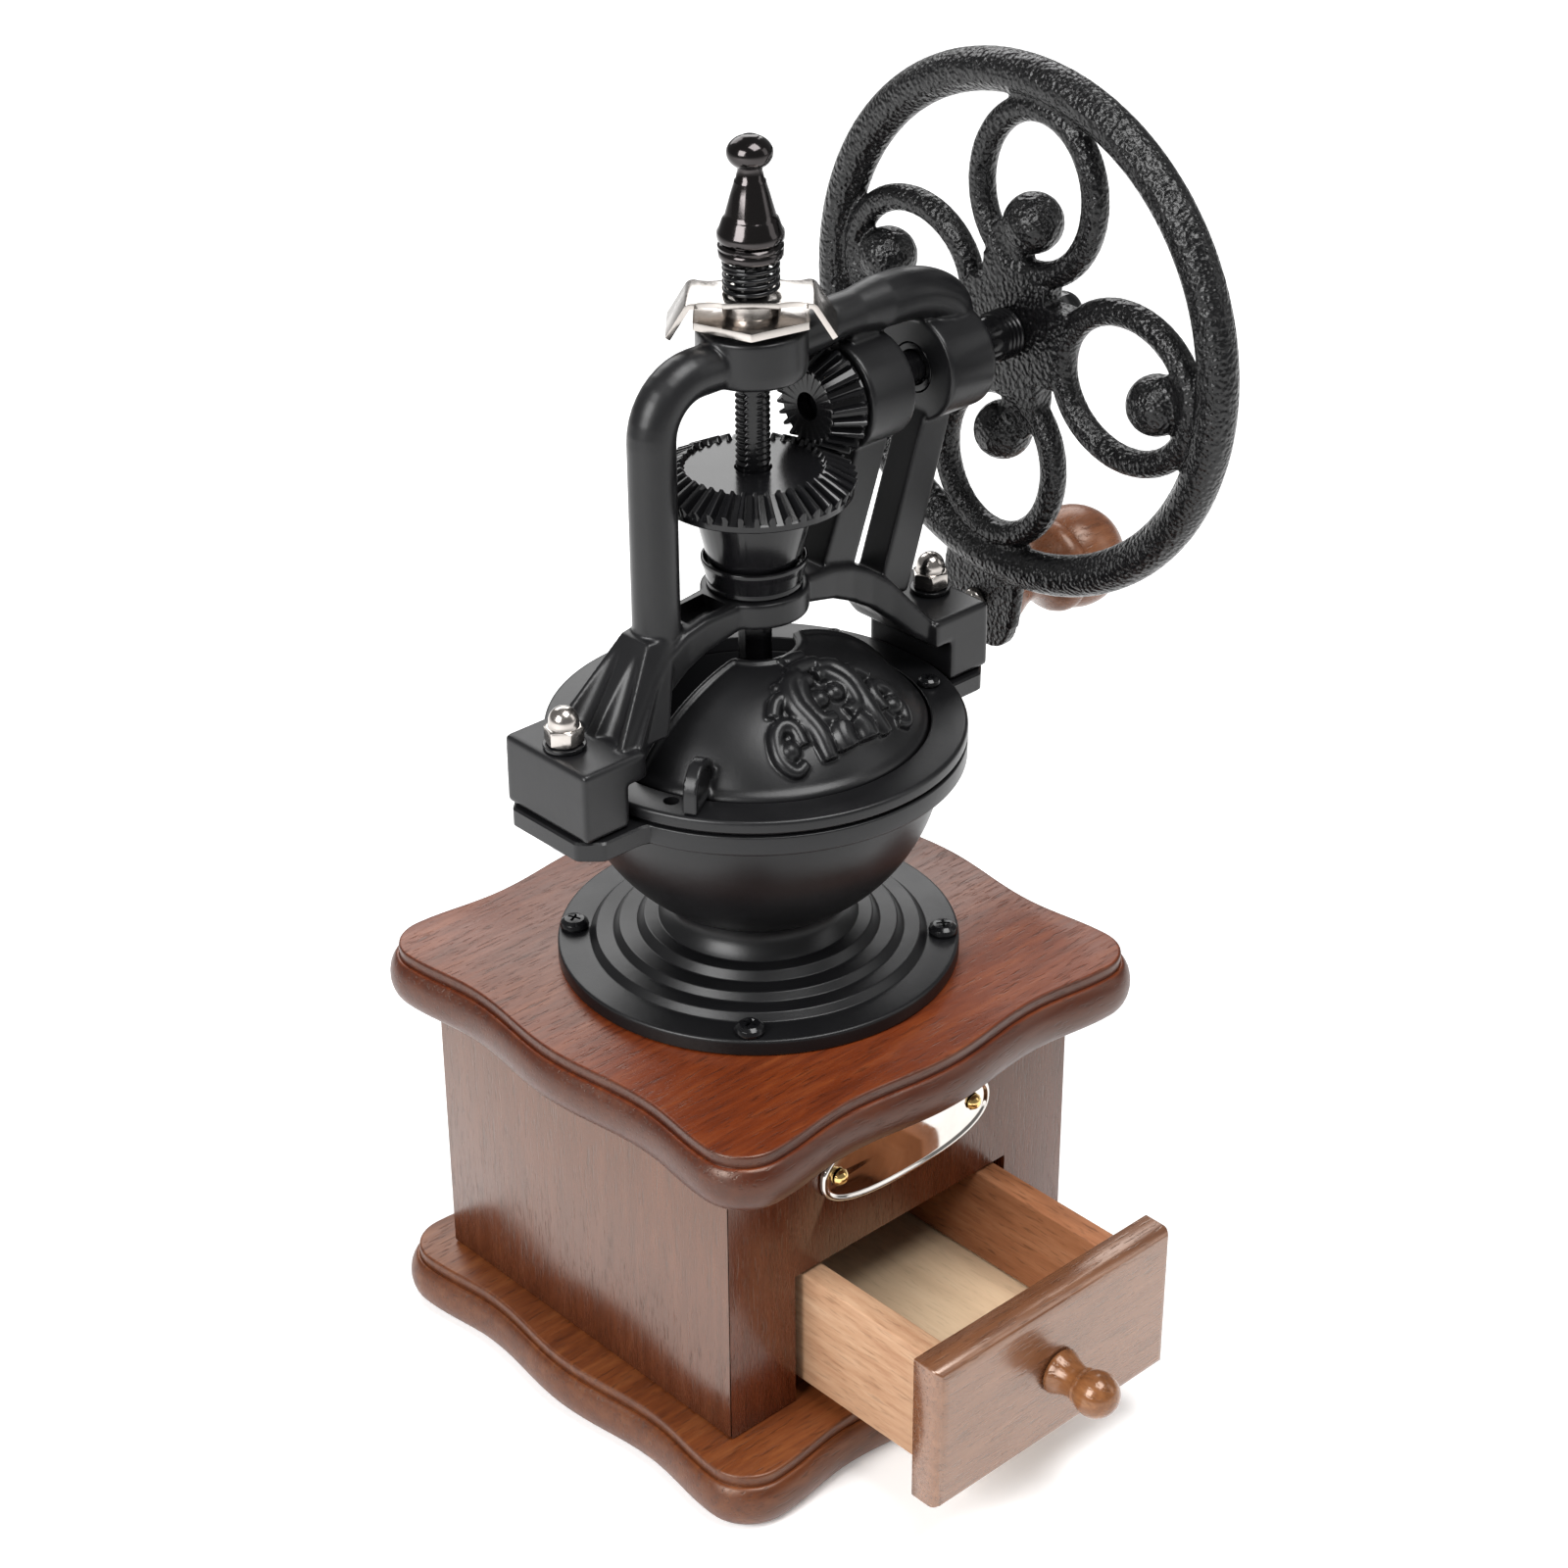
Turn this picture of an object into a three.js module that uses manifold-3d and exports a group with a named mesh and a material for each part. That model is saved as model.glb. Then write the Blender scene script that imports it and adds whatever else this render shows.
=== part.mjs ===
// Hand crank coffee grinder: wooden drawer box, cast hopper and frame, bevel gears and a crank wheel.
// Units are millimetres.  +Z is up, the drawer opens toward -Y and the crank wheel is on the +X side.
// The origin is on the axis of the grinding shaft, at the underside of the base plate.
import * as THREE from 'three';
import { ConvexGeometry } from 'three/addons/geometries/ConvexGeometry.js';
import { mergeVertices } from 'three/addons/utils/BufferGeometryUtils.js';
import Module from 'manifold-3d';

const wasm = await Module();
wasm.setup();

// ---------------------------------------------------------------- driving dimensions
const gap = 0.3;                 // clearance between pieces that touch
const baseHalf = 69.4;           // base plate, half its width
const baseTop = 15.4;            // top of the base plate
const boxHalfX = 57.2;           // wooden box, half its width
const boxHalfY = 54.2;           // wooden box, half its depth
const boxMiddleY = 2.6;          // the box stands this far back from the shaft axis
const wall = 10;                 // box wall thickness
const topHalf = 69.1;            // top plate, half its width
const topBottom = 93;            // underside of the top plate
const topTop = 108.4;            // upper face of the top plate
const chuteRadius = 21.5;        // hole in the top plate that the grounds fall through
const mouthHalf = 36;            // drawer opening, half its width
const mouthTop = 53.6;           // upper edge of the drawer opening
const runnerTop = 19.6;          // upper face of the strips that carry the drawer
const drawerOut = 43.9;          // how far the drawer is pulled out at rest
const drawerHalf = 33;           // drawer box, half its outer width
const drawerHeight = 32.6;       // drawer sides, from bottom to rail
const drawerLength = 94;         // drawer sides, front to back
const panelHalf = 40;            // drawer front panel, half its width
const panelHeight = 41;          // drawer front panel height
const panelThick = 9;            // drawer front panel thickness
const discRadius = 49.5;         // round foot of the cast hopper
const discTop = 112.7;           // upper face of that foot
const bowlRadius = 45;           // outside radius of the hopper bowl
const bowlCentre = 165;          // height of the bowl's centre
const bowlWall = 3;              // bowl wall thickness
const rimRadius = 50.5;          // flange of the bowl and the ring on it
const flangeTop = 168.4;         // upper face of the bowl flange
const ringTop = 172.4;           // upper face of the lid ring
const domeRadius = 49.2;         // outside radius of the domed hatch
const domeBase = 41;             // radius where the dome meets the lid ring
const domeTop = 193.5;           // height that the dome would reach on the shaft axis
const blockTop = 186.1;          // top of the two clamp blocks of the frame
const blockIn = 46;              // inner face of a clamp block
const blockOut = 64.3;           // outer face of a clamp block
const blockHalf = 14.3;          // clamp block, half its depth
const studX = 58.2;              // distance of the frame studs from the shaft axis
const legX = -30.2;               // axis of the round frame leg
const legRadius = 5.6;           // radius of the round frame leg
const hubRadius = 12.8;          // top hub and lower collar of the frame
const hubBottom = 260;           // underside of the top hub
const hubTop = 271.6;            // top of the top hub
const collarBottom = 201.5;      // underside of the lower collar
const collarTop = 208;           // top of the lower collar
const shaftRadius = 4.1;         // grinding shaft
const crankZ = 247;              // height of the crank shaft
const crankRadius = 4;           // crank shaft
const gearTeeth = 40;            // teeth of the gear on the grinding shaft
const pinionTeeth = 22;          // teeth of the gear on the crank shaft
const gearRadius = 23.6;         // pitch radius of the large gear at its outer end
const toothLength = 8.2;         // length of the teeth along the pitch cone
const wheelX = 87;               // middle plane of the crank wheel
const wheelRim = 63.2;           // radius of the middle of the rim
const rimTube = 5;               // radius of the rim's round section
const wheelTurn = 8 * Math.PI / 180; // rest angle of the crank wheel
const knobReach = 77;            // distance of the knob axle from the wheel axis
const wheelHub = 12;             // radius of the wheel's hub boss

// ---------------------------------------------------------------- materials
const metal = (color, roughness, metalness = 0.6) =>
  new THREE.MeshStandardMaterial({ color, roughness, metalness });
const cast = metal(0x2b2c2e, 0.55, 0.4);
const hammered = metal(0x1c1c1e, 0.45, 0.4);
const gloss = metal(0x111113, 0.25, 0.5);
const gunmetal = metal(0x3a3a3c, 0.25, 0.9);
const nickel = metal(0xc9c4bb, 0.28, 1);
const steel = metal(0x9b9da0, 0.35, 1);
const brass = metal(0xc9a24a, 0.3, 1);
const wood = (color, roughness = 0.45) => new THREE.MeshStandardMaterial({ color, roughness, metalness: 0 });
const darkWood = wood(0x6a3a22, 0.35);
const wallWood = wood(0x7a5646, 0.45);
const panelWood = wood(0x8a5c3c, 0.4);
const rawWood = wood(0xc39a72, 0.7);
const board = wood(0xb9a184, 0.8);
const knobWood = wood(0xa8744a, 0.35);

// ---------------------------------------------------------------- solids
const group = new THREE.Group();

function add(name, geometry, material) {
  const mesh = new THREE.Mesh(geometry, material);
  mesh.name = name;
  group.add(mesh);
}

// A closed geometry as a manifold solid; a geometry that is inside out is turned.
function solid(geometry) {
  const bare = geometry.clone();
  bare.deleteAttribute('normal');
  bare.deleteAttribute('uv');
  const welded = mergeVertices(bare, 1e-4);
  const points = welded.attributes.position.array;
  const tris = Uint32Array.from(welded.index.array);
  if (signedVolume(points, tris) < 0) {
    for (let i = 0; i < tris.length; i += 3) {
      [tris[i + 1], tris[i + 2]] = [tris[i + 2], tris[i + 1]];
    }
  }
  return new wasm.Manifold(new wasm.Mesh({
    numProp: 3,
    vertProperties: Float32Array.from(points),
    triVerts: tris,
  }));
}

function signedVolume(points, tris) {
  const a = new THREE.Vector3();
  const b = new THREE.Vector3();
  const c = new THREE.Vector3();
  let sum = 0;
  for (let i = 0; i < tris.length; i += 3) {
    a.fromArray(points, tris[i] * 3);
    b.fromArray(points, tris[i + 1] * 3);
    c.fromArray(points, tris[i + 2] * 3);
    sum += a.dot(b.cross(c)) / 6;
  }
  return sum;
}

function geometryOf(manifold) {
  const mesh = manifold.getMesh();
  const geometry = new THREE.BufferGeometry();
  geometry.setAttribute('position', new THREE.BufferAttribute(Float32Array.from(mesh.vertProperties), 3));
  geometry.setIndex(new THREE.BufferAttribute(Uint32Array.from(mesh.triVerts), 1));
  geometry.computeVertexNormals();
  return geometry;
}

const asSolid = (shape) => (shape.isBufferGeometry ? solid(shape) : shape);
const join = (...shapes) => shapes.map(asSolid).reduce((all, one) => all.add(one));
const cut = (body, ...tools) => tools.map(asSolid).reduce((left, tool) => left.subtract(tool), asSolid(body));

// ---------------------------------------------------------------- basic shapes
function box(x0, x1, y0, y1, z0, z1) {
  const geometry = new THREE.BoxGeometry(x1 - x0, y1 - y0, z1 - z0);
  return geometry.translate((x0 + x1) / 2, (y0 + y1) / 2, (z0 + z1) / 2);
}

// A body turned about Z from [radius, height] points; it closes on the axis or on itself.
function turned(points, segments = 24) {
  const profile = points.map(([r, z]) => new THREE.Vector2(r, z));
  if (points[0][0] > 0) profile.push(profile[0].clone());
  return new THREE.LatheGeometry(profile, segments).rotateX(Math.PI / 2);
}

// The same body turned about X at the height of the crank shaft.
function turnedX(points, segments = 20, y = 0, z = crankZ) {
  return turned(points, segments).rotateY(Math.PI / 2).translate(0, y, z);
}

const rod = (radius, z0, z1, segments = 20) =>
  turned([[0, z0], [radius, z0], [radius, z1], [0, z1]], segments);
const ring = (inner, outer, z0, z1, segments = 24) =>
  turned([[inner, z0], [outer, z0], [outer, z1], [inner, z1]], segments);
const rodX = (radius, x0, x1, segments = 20) =>
  turnedX([[0, x0], [radius, x0], [radius, x1], [0, x1]], segments);
const ringX = (inner, outer, x0, x1, segments = 20) =>
  turnedX([[inner, x0], [outer, x0], [outer, x1], [inner, x1]], segments);

const radians = (degrees) => degrees * Math.PI / 180;
const around = (radius, angle) => [radius * Math.cos(angle), radius * Math.sin(angle)];
const arc = (r, z, radius, from, to, count) =>
  Array.from({ length: count + 1 }, (_, i) => {
    const angle = (from + (to - from) * i / count) * Math.PI / 180;
    return [r + radius * Math.cos(angle), z + radius * Math.sin(angle)];
  });

function hull(points) {
  return new ConvexGeometry(points.map((p) => new THREE.Vector3(...p)));
}

// A round bar along a list of points, smoothed as one curve.
function bar(points, radius, steps, sides = 8) {
  const curve = new THREE.CatmullRomCurve3(points.map((p) => new THREE.Vector3(...p)), false, 'centripetal');
  const section = new THREE.Shape();
  section.absarc(0, 0, radius, 0, Math.PI * 2);
  return new THREE.ExtrudeGeometry(section, { steps, curveSegments: sides, extrudePath: curve });
}

// A round bar closed on itself: an oval in the YZ plane with half sizes ry and rz about [y, z].
function ovalBar(ry, rz, y, z, radius, steps, sides) {
  const loops = Array.from({ length: steps }, (_, k) => {
    const angle = k * 2 * Math.PI / steps;
    const outward = new THREE.Vector2(Math.cos(angle) * rz, Math.sin(angle) * ry).normalize();
    return Array.from({ length: sides }, (_, i) => {
      const [across, out] = around(radius, i * 2 * Math.PI / sides);
      return [across, y + ry * Math.cos(angle) + out * outward.x, z + rz * Math.sin(angle) + out * outward.y];
    });
  });
  return skin(loops, false);
}

// A flat outline in XY, raised from z0 to z1.
function raised(outline, z0, z1) {
  const shape = new THREE.Shape(outline.map(([x, y]) => new THREE.Vector2(x, y)));
  return new THREE.ExtrudeGeometry(shape, { depth: z1 - z0, bevelEnabled: false }).translate(0, 0, z0);
}

// A flat outline in XZ, given a thickness in Y.
function upright(outline, y0, y1) {
  return raised(outline, -y1, -y0).rotateX(Math.PI / 2);
}

// A ball, squashed along Z by the given factor.
function ball(radius, x, y, z, squash = 1, detail = 12) {
  return new THREE.SphereGeometry(radius, detail, detail / 2).scale(1, 1, squash).translate(x, y, z);
}

// A skin over closed loops that all have the same number of points; the first and last are capped.
function skin(loops, capped = true) {
  const count = loops[0].length;
  const position = loops.flat(2);
  const index = [];
  const last = capped ? loops.length - 1 : loops.length;
  for (let k = 0; k < last; k += 1) {
    const next = (k + 1) % loops.length;
    for (let i = 0; i < count; i += 1) {
      const j = (i + 1) % count;
      index.push(k * count + i, k * count + j, next * count + j);
      index.push(k * count + i, next * count + j, next * count + i);
    }
  }
  if (capped) {
    const flat = (loop) => loop.map(([x, y]) => new THREE.Vector2(x, y));
    const low = THREE.ShapeUtils.triangulateShape(flat(loops[0]), []);
    const high = THREE.ShapeUtils.triangulateShape(flat(loops.at(-1)), []);
    const start = (loops.length - 1) * count;
    low.forEach(([a, b, c]) => index.push(c, b, a));
    high.forEach(([a, b, c]) => index.push(start + a, start + b, start + c));
  }
  const geometry = new THREE.BufferGeometry();
  geometry.setAttribute('position', new THREE.Float32BufferAttribute(position, 3));
  geometry.setIndex(index);
  return geometry;
}

// ---------------------------------------------------------------- wooden box
// How far the side of a plate lies inside its corners: two hollows and a slight swell in the middle.
function sideDepth(share) {
  const hollow = 2.3;
  const swell = -0.6;
  const turn = 0.56;
  if (share < turn) return hollow + (swell - hollow) * (0.5 + 0.5 * Math.cos(Math.PI * share / turn));
  return hollow * (0.5 + 0.5 * Math.cos(Math.PI * (share - turn) / (1 - turn)));
}

// Outline of a plate with round corner lobes; `inset` draws it in all round.
function plateOutline(half, inset, perSide = 12) {
  const lobe = 13.6;
  const side = half - lobe;
  const outline = [];
  for (let quarter = 0; quarter < 4; quarter += 1) {
    const turn = quarter * Math.PI / 2;
    const cos = Math.cos(turn);
    const sin = Math.sin(turn);
    const place = (x, y) => [x * cos - y * sin, x * sin + y * cos];
    for (let i = 0; i <= perSide; i += 1) {
      const along = -side + 2 * side * i / perSide;
      outline.push(place(half - inset - sideDepth(Math.abs(along) / side), along));
    }
    for (let i = 1; i < 4; i += 1) {
      const [x, y] = around(lobe - inset, i * Math.PI / 8);
      outline.push(place(side + x, side + y));
    }
  }
  return outline;
}

// A plate with a bullnose edge, a small ledge above the nose and an upright step up to its flat face.
function mouldedPlate(half, bottom, top) {
  const nose = 4.6;
  const step = 3.2;
  const rise = (top - bottom - step) / (1 + Math.sin(radians(56)));
  const levels = arc(0, 0, 1, -90, 56, 4).map(([out, up]) => [nose * (1 - out), bottom + rise * (up + 1)]);
  levels.push([2.6, top]);
  return skin(levels.map(([inset, z]) => plateOutline(half, inset).map(([x, y]) => [x, y, z])));
}

add('base_plate', geometryOf(asSolid(mouldedPlate(baseHalf, 0, baseTop))), darkWood);
add('top_plate', geometryOf(cut(mouldedPlate(topHalf, topBottom, topTop), rod(chuteRadius, 90, 120, 32))),
  darkWood);

const wallBottom = baseTop + gap;
const wallTop = topBottom - gap;

// One mitred wall: a trapezium in plan, raised to the height of the box.
function mitredWall(half, depth) {
  const slack = gap / 2;
  const outer = half - slack;
  const inner = outer - wall;
  const plan = [[-outer, 0], [outer, 0], [inner, wall], [-inner, wall]];
  return raised(plan, wallBottom, wallTop).translate(0, -depth, 0);
}

const boxFront = boxMiddleY - boxHalfY;
const frontOpening = box(-mouthHalf, mouthHalf, boxFront - 5, boxFront + wall + 5, 0, mouthTop);
const pinX = 22.6;
const plateZ = 77.2;
const pinHole = (x) => rod(1.1, 0, 6, 16).rotateX(-Math.PI / 2).translate(x, boxFront - 1, plateZ);
const placeWall = (geometry, angle) => geometry.rotateZ(angle).translate(0, boxMiddleY, 0);
const frontWall = placeWall(mitredWall(boxHalfX, boxHalfY), 0);
add('box_front_wall', geometryOf(cut(frontWall, frontOpening, pinHole(-pinX), pinHole(pinX))), wallWood);
add('box_back_wall', placeWall(mitredWall(boxHalfX, boxHalfY), Math.PI), wallWood);
add('box_right_wall', placeWall(mitredWall(boxHalfY, boxHalfX), Math.PI / 2), wallWood);
add('box_left_wall', placeWall(mitredWall(boxHalfY, boxHalfX), -Math.PI / 2), wallWood);

const innerX = boxHalfX - wall - gap;
const innerY = boxHalfY - wall - gap;
const runner = (x0, x1) => box(x0, x1, boxMiddleY - innerY, boxMiddleY + innerY, wallBottom, runnerTop);
add('left_runner', runner(-innerX, -26), rawWood);
add('right_runner', runner(26, innerX), rawWood);

// ---------------------------------------------------------------- drawer
const sideThick = 6.5;
const floorThick = 3;
const sideBottom = runnerTop + gap;
const sideTop = sideBottom + drawerHeight;
const panelBack = boxFront - drawerOut;
const sideFront = panelBack + gap;
const sideBack = sideFront + drawerLength;
const panelBottom = baseTop + 0.9;
const panelMiddle = panelBottom + panelHeight / 2;

// The front panel has its four front edges rounded over.
function drawerPanel() {
  const round = 3;
  const edge = arc(0, 0, 1, 0, 90, 4).map(([x, y]) => [round * (1 - x), panelThick - round * (1 - y)]);
  const levels = [[0, 0], ...edge];
  const rect = (inset, depth) => {
    const x = panelHalf - inset;
    const z = panelHeight / 2 - inset;
    return [[-x, -z, depth], [x, -z, depth], [x, z, depth], [-x, z, depth]];
  };
  return skin(levels.map(([inset, depth]) => rect(inset, depth)))
    .rotateX(Math.PI / 2).translate(0, panelBack, panelMiddle);
}

const screwHole = rod(2, -20, 20, 12).rotateX(Math.PI / 2).translate(0, panelBack, panelMiddle);
add('drawer_front', geometryOf(cut(drawerPanel(), screwHole)), panelWood);
const floorZ = sideBottom + 4;
const floorTop = floorZ + floorThick;
const groove = box(-drawerHalf + 3, drawerHalf - 3, sideFront - 1, sideBack - 2, floorZ - gap, floorTop + gap);
const drawerSide = (x0, x1) => cut(box(x0, x1, sideFront, sideBack, sideBottom, sideTop), groove);
add('drawer_left_side', geometryOf(drawerSide(-drawerHalf, -drawerHalf + sideThick)), rawWood);
add('drawer_right_side', geometryOf(drawerSide(drawerHalf - sideThick, drawerHalf)), rawWood);
const backHalf = drawerHalf - sideThick - gap;
add('drawer_back', box(-backHalf, backHalf, sideBack - sideThick, sideBack, floorTop + gap, sideTop), rawWood);
const floorHalf = drawerHalf - 3 - gap;
add('drawer_bottom', box(-floorHalf, floorHalf, sideFront, sideBack - 2 - gap, floorZ, floorTop), board);

const panelFront = panelBack - panelThick;
const knobProfile = [[0, 0], [6.6, 0], [6, 1.6], [4.6, 3.8], [4.2, 6], [4.6, 7.6],
  ...arc(0, 12, 5.8, -42, 90, 8)];
knobProfile[knobProfile.length - 1] = [0, 17.8];
const drawerKnob = turned(knobProfile, 16);
const knobBore = rod(1.8, -1, 10, 12);
const boredKnob = cut(drawerKnob, knobBore).rotate([90, 0, 0]).translate([0, panelFront - gap, panelMiddle]);
add('drawer_knob', geometryOf(boredKnob), knobWood);
const screwProfile = [[0, -9.6], [1.5, -9.6], [1.5, panelThick + gap], [3.4, panelThick + gap],
  [2.8, panelThick + 2.2], [0, panelThick + 2.2]];
add('drawer_knob_screw', turned(screwProfile, 12).rotateX(-Math.PI / 2)
  .translate(0, panelFront, panelMiddle), steel);

// ---------------------------------------------------------------- name plate
// An oval with fuller ends than an ellipse.
function ovalOutline(half, rise, steps = 24) {
  const full = (value) => Math.sign(value) * Math.abs(value) ** 0.83;
  return Array.from({ length: steps }, (_, i) => {
    const [x, y] = around(1, (i + 0.5) * 2 * Math.PI / steps);
    return [half * full(x), rise * full(y)];
  });
}

const plateBlank = raised(ovalOutline(28.3, 10.5), 0, 1);
const plateRim = cut(raised(ovalOutline(28.3, 10.5), 0.5, 1.7), raised(ovalOutline(26.7, 9), 0, 3));
const namePlate = cut(join(plateBlank, plateRim), rod(1.1, -1, 3, 16).translate(-pinX, 0, 0),
  rod(1.1, -1, 3, 16).translate(pinX, 0, 0));
const faceFront = (body, x) =>
  geometryOf(asSolid(body).rotate([90, 0, 0]).translate([x, boxFront - gap, plateZ]));
add('name_plate', faceFront(namePlate, 0), nickel);
const pinProfile = [[0, -4.5], [0.8, -4.5], [0.8, 1.3], [2.1, 1.3],
  ...arc(0, 0.9, 2.1, 25, 90, 4).slice(0, -1), [0, 3]];
add('name_plate_pin_left', faceFront(turned(pinProfile, 16), -pinX), brass);
add('name_plate_pin_right', faceFront(turned(pinProfile, 16), pinX), brass);

// ---------------------------------------------------------------- hopper
const discBottom = topTop + gap;
const bowlArc = (radius, from, to, count) => arc(0, bowlCentre, radius, from, to, count);
const innerBowl = bowlRadius - bowlWall;
const throat = 17.6;
const throatAngle = -Math.acos(throat / innerBowl) * 180 / Math.PI;
const hopperProfile = [
  [throat, 129.5], [throat + 2.9, 126], [throat + 2.9, discBottom], [discRadius, discBottom],
  [discRadius, discTop - 0.6], [discRadius - 0.6, discTop],
  [41.5, discTop], [39.6, discTop + 1.9], [35.6, discTop + 1.9], [33.7, discTop + 3.8],
  [29.7, discTop + 3.8], [27.5, discTop + 6], [24.6, discTop + 6], [22.9, discTop + 8.4],
  ...bowlArc(bowlRadius, -61, -2, 6),
  [rimRadius, 163.4], [rimRadius, flangeTop], [innerBowl, flangeTop],
  ...bowlArc(innerBowl, 0, throatAngle, 6),
];

// The two ears that carry the frame, with sloping flanks where they meet the flange.
function ear(side) {
  const outline = [[40, -24], [blockIn + 3, -blockHalf - 1.5], [blockOut - 4, -blockHalf - 1.5],
    [blockOut + 1, -blockHalf + 3], [blockOut + 1, blockHalf - 3], [blockOut - 4, blockHalf + 1.5],
    [blockIn + 3, blockHalf + 1.5], [40, 24]];
  const plate = raised(outline, 163.4, flangeTop);
  return side > 0 ? plate : plate.rotateZ(Math.PI);
}

const flangeScrewR = 45.5;
const lidScrewR = 44.6;
const lidScrewAngle = 22 * Math.PI / 180;
const flangeAngles = { front: -135, right: -45, rear: 45, left: 135 };
const lidAngles = {
  front_right: -lidScrewAngle,
  rear_right: lidScrewAngle,
  rear_left: Math.PI - lidScrewAngle,
};
const drill = (radius, [x, y], z0, z1) => rod(radius, z0, z1, 12).translate(x, y, 0);

const hopperHoles = [
  ...Object.values(flangeAngles).map((a) => drill(2, around(flangeScrewR, radians(a)), 100, 120)),
  ...Object.values(lidAngles).map((a) => drill(1.6, around(lidScrewR, a), 160, 175)),
  drill(2.7, [studX, 0], 160, 175),
  drill(2.7, [-studX, 0], 160, 175),
];
const hopperCore = turned(hopperProfile, 28);
const bowlSpace = turned([[0, 120], [throat, 120], [throat, 129.5], ...bowlArc(innerBowl, throatAngle, 0, 6),
  [innerBowl, 175], [0, 175]], 28);
const hopperEars = cut(join(ear(1), ear(-1)), bowlSpace);
add('hopper_bowl', geometryOf(cut(join(hopperCore, hopperEars), ...hopperHoles)), cast);

// A pan head screw with a crossed recess; z0 is the face that its head rests on.
function crossScrew(shank, length, head, rise, z0) {
  const profile = [[0, z0 - length], [shank, z0 - length], [shank, z0], [head, z0], [head, z0 + rise * 0.45],
    [head * 0.7, z0 + rise * 0.9], [0, z0 + rise]];
  const slot = box(-head * 0.55, head * 0.55, -0.35, 0.35, z0 + rise * 0.45, z0 + rise * 2);
  return cut(turned(profile, 8), slot, slot.clone().rotateZ(Math.PI / 2));
}

for (const [name, angle] of Object.entries(flangeAngles)) {
  const [x, y] = around(flangeScrewR, radians(angle));
  const screw = crossScrew(1.7, 3.9, 3.6, 2.4, discTop + gap).translate([x, y, 0]);
  add(`flange_screw_${name}`, geometryOf(screw), gloss);
}

// ---------------------------------------------------------------- lid ring and domed hatch
const ringInner = domeBase + 0.6;
const lidHoles = [...Object.values(lidAngles), Math.PI + lidScrewAngle]
  .map((a) => drill(1.9, around(lidScrewR, a), 160, 180));
const ringFlats = [1, -1].map((side) =>
  box(side > 0 ? blockIn + 3.4 : -70, side > 0 ? 70 : -blockIn - 3.4, -blockHalf - 1, blockHalf + 1, 160, 180));
const lidRing = turned([[ringInner, flangeTop + gap], [rimRadius, flangeTop + gap], [rimRadius, ringTop - 0.8],
  [rimRadius - 0.8, ringTop], [ringInner, ringTop]], 28);
add('lid_ring', geometryOf(cut(lidRing, ...lidHoles, ...ringFlats)), cast);
for (const [name, angle] of Object.entries(lidAngles)) {
  const [x, y] = around(lidScrewR, angle);
  const screw = crossScrew(1.3, 7.6, 2.7, 1.8, ringTop + gap).translate([x, y, 0]);
  add(`lid_screw_${name}`, geometryOf(screw), gloss);
}

const domeCentre = domeTop - domeRadius;
const domeHeight = (r, lift = 0) => domeCentre + Math.sqrt((domeRadius + lift) ** 2 - r * r);
const edgeAngle = Math.asin((ringTop - domeCentre) / domeRadius) * 180 / Math.PI;
const hatchFoot = flangeTop + gap;

function domeShell() {
  const inside = domeRadius - 2;
  const outer = arc(0, domeCentre, domeRadius, edgeAngle, 90, 6).slice(0, -1);
  const inner = arc(0, domeCentre, inside, 90, 34.5, 6).slice(1);
  const profile = [[0, domeTop], ...outer.reverse(), [domeBase, ringTop - 0.5], [domeBase, hatchFoot],
    [36.6, hatchFoot], ...inner.reverse(), [0, domeCentre + inside]];
  return turned(profile, 28);
}

// A ridge that follows the dome, through points given as [angle in degrees, distance from the axis].
function ridge(points, radius, steps = 10) {
  const path = points.map(([angle, r]) => {
    const [x, y] = around(r, radians(angle));
    return [x, y, domeHeight(r)];
  });
  return bar(path, radius, steps, 5);
}

function reliefBead(angle, r, radius) {
  const [x, y] = around(r, radians(angle));
  return ball(radius, x, y, domeHeight(r), 1, 10);
}

const hatchCutY = -3;
const notchRadius = 9.6;
const hatchTool = join(box(-60, 60, hatchCutY, 60, 150, 210), rod(notchRadius, 150, 210, 32));
const scroll = (side) => [
  ridge([[-90 + 4 * side, 34], [-90 + 16 * side, 30], [-90 + 34 * side, 27], [-90 + 40 * side, 22],
    [-90 + 26 * side, 20], [-90 + 22 * side, 24]], 1.9, 9),
  ridge([[-90 + 6 * side, 18], [-90 + 22 * side, 16], [-90 + 46 * side, 18], [-90 + 50 * side, 25],
    [-90 + 40 * side, 31]], 1.6, 8),
  reliefBead(-90 + 36 * side, 32.5, 3),
];
const leaf = [ridge([[-90, 14], [-90, 24], [-90, 35]], 2.4, 6), reliefBead(-90, 14, 3)];
const finThick = 3.2;
const finOutline = [[36, ringTop + gap], [49.6, ringTop + gap], [49.6, 176],
  ...arc(42.4, 176, 7.2, 15, 90, 5), [36, 183.2]];
const fin = upright(finOutline, -finThick / 2, finThick / 2).rotateZ(radians(-150));
const hatchBody = join(cut(domeShell(), hatchTool), ...scroll(1), ...scroll(-1), ...leaf, fin);
add('dome_hatch', geometryOf(cut(hatchBody, turned([[0, 150], [36.6, 150], [36.6, hatchFoot],
  ...arc(0, domeCentre, domeRadius - 2, 34.5, 90, 6).slice(1, -1), [0, domeCentre + domeRadius - 2]], 28))), cast);

// ---------------------------------------------------------------- frame
// Slab of the arch between two stations; each station is [x, low, high, half depth].
function archSlab(a, b) {
  const corners = ([x, low, high, depth]) => [[x, -depth, low], [x, depth, low], [x, -depth, high], [x, depth, high]];
  return hull([...corners(a), ...corners(b)]);
}

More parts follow.
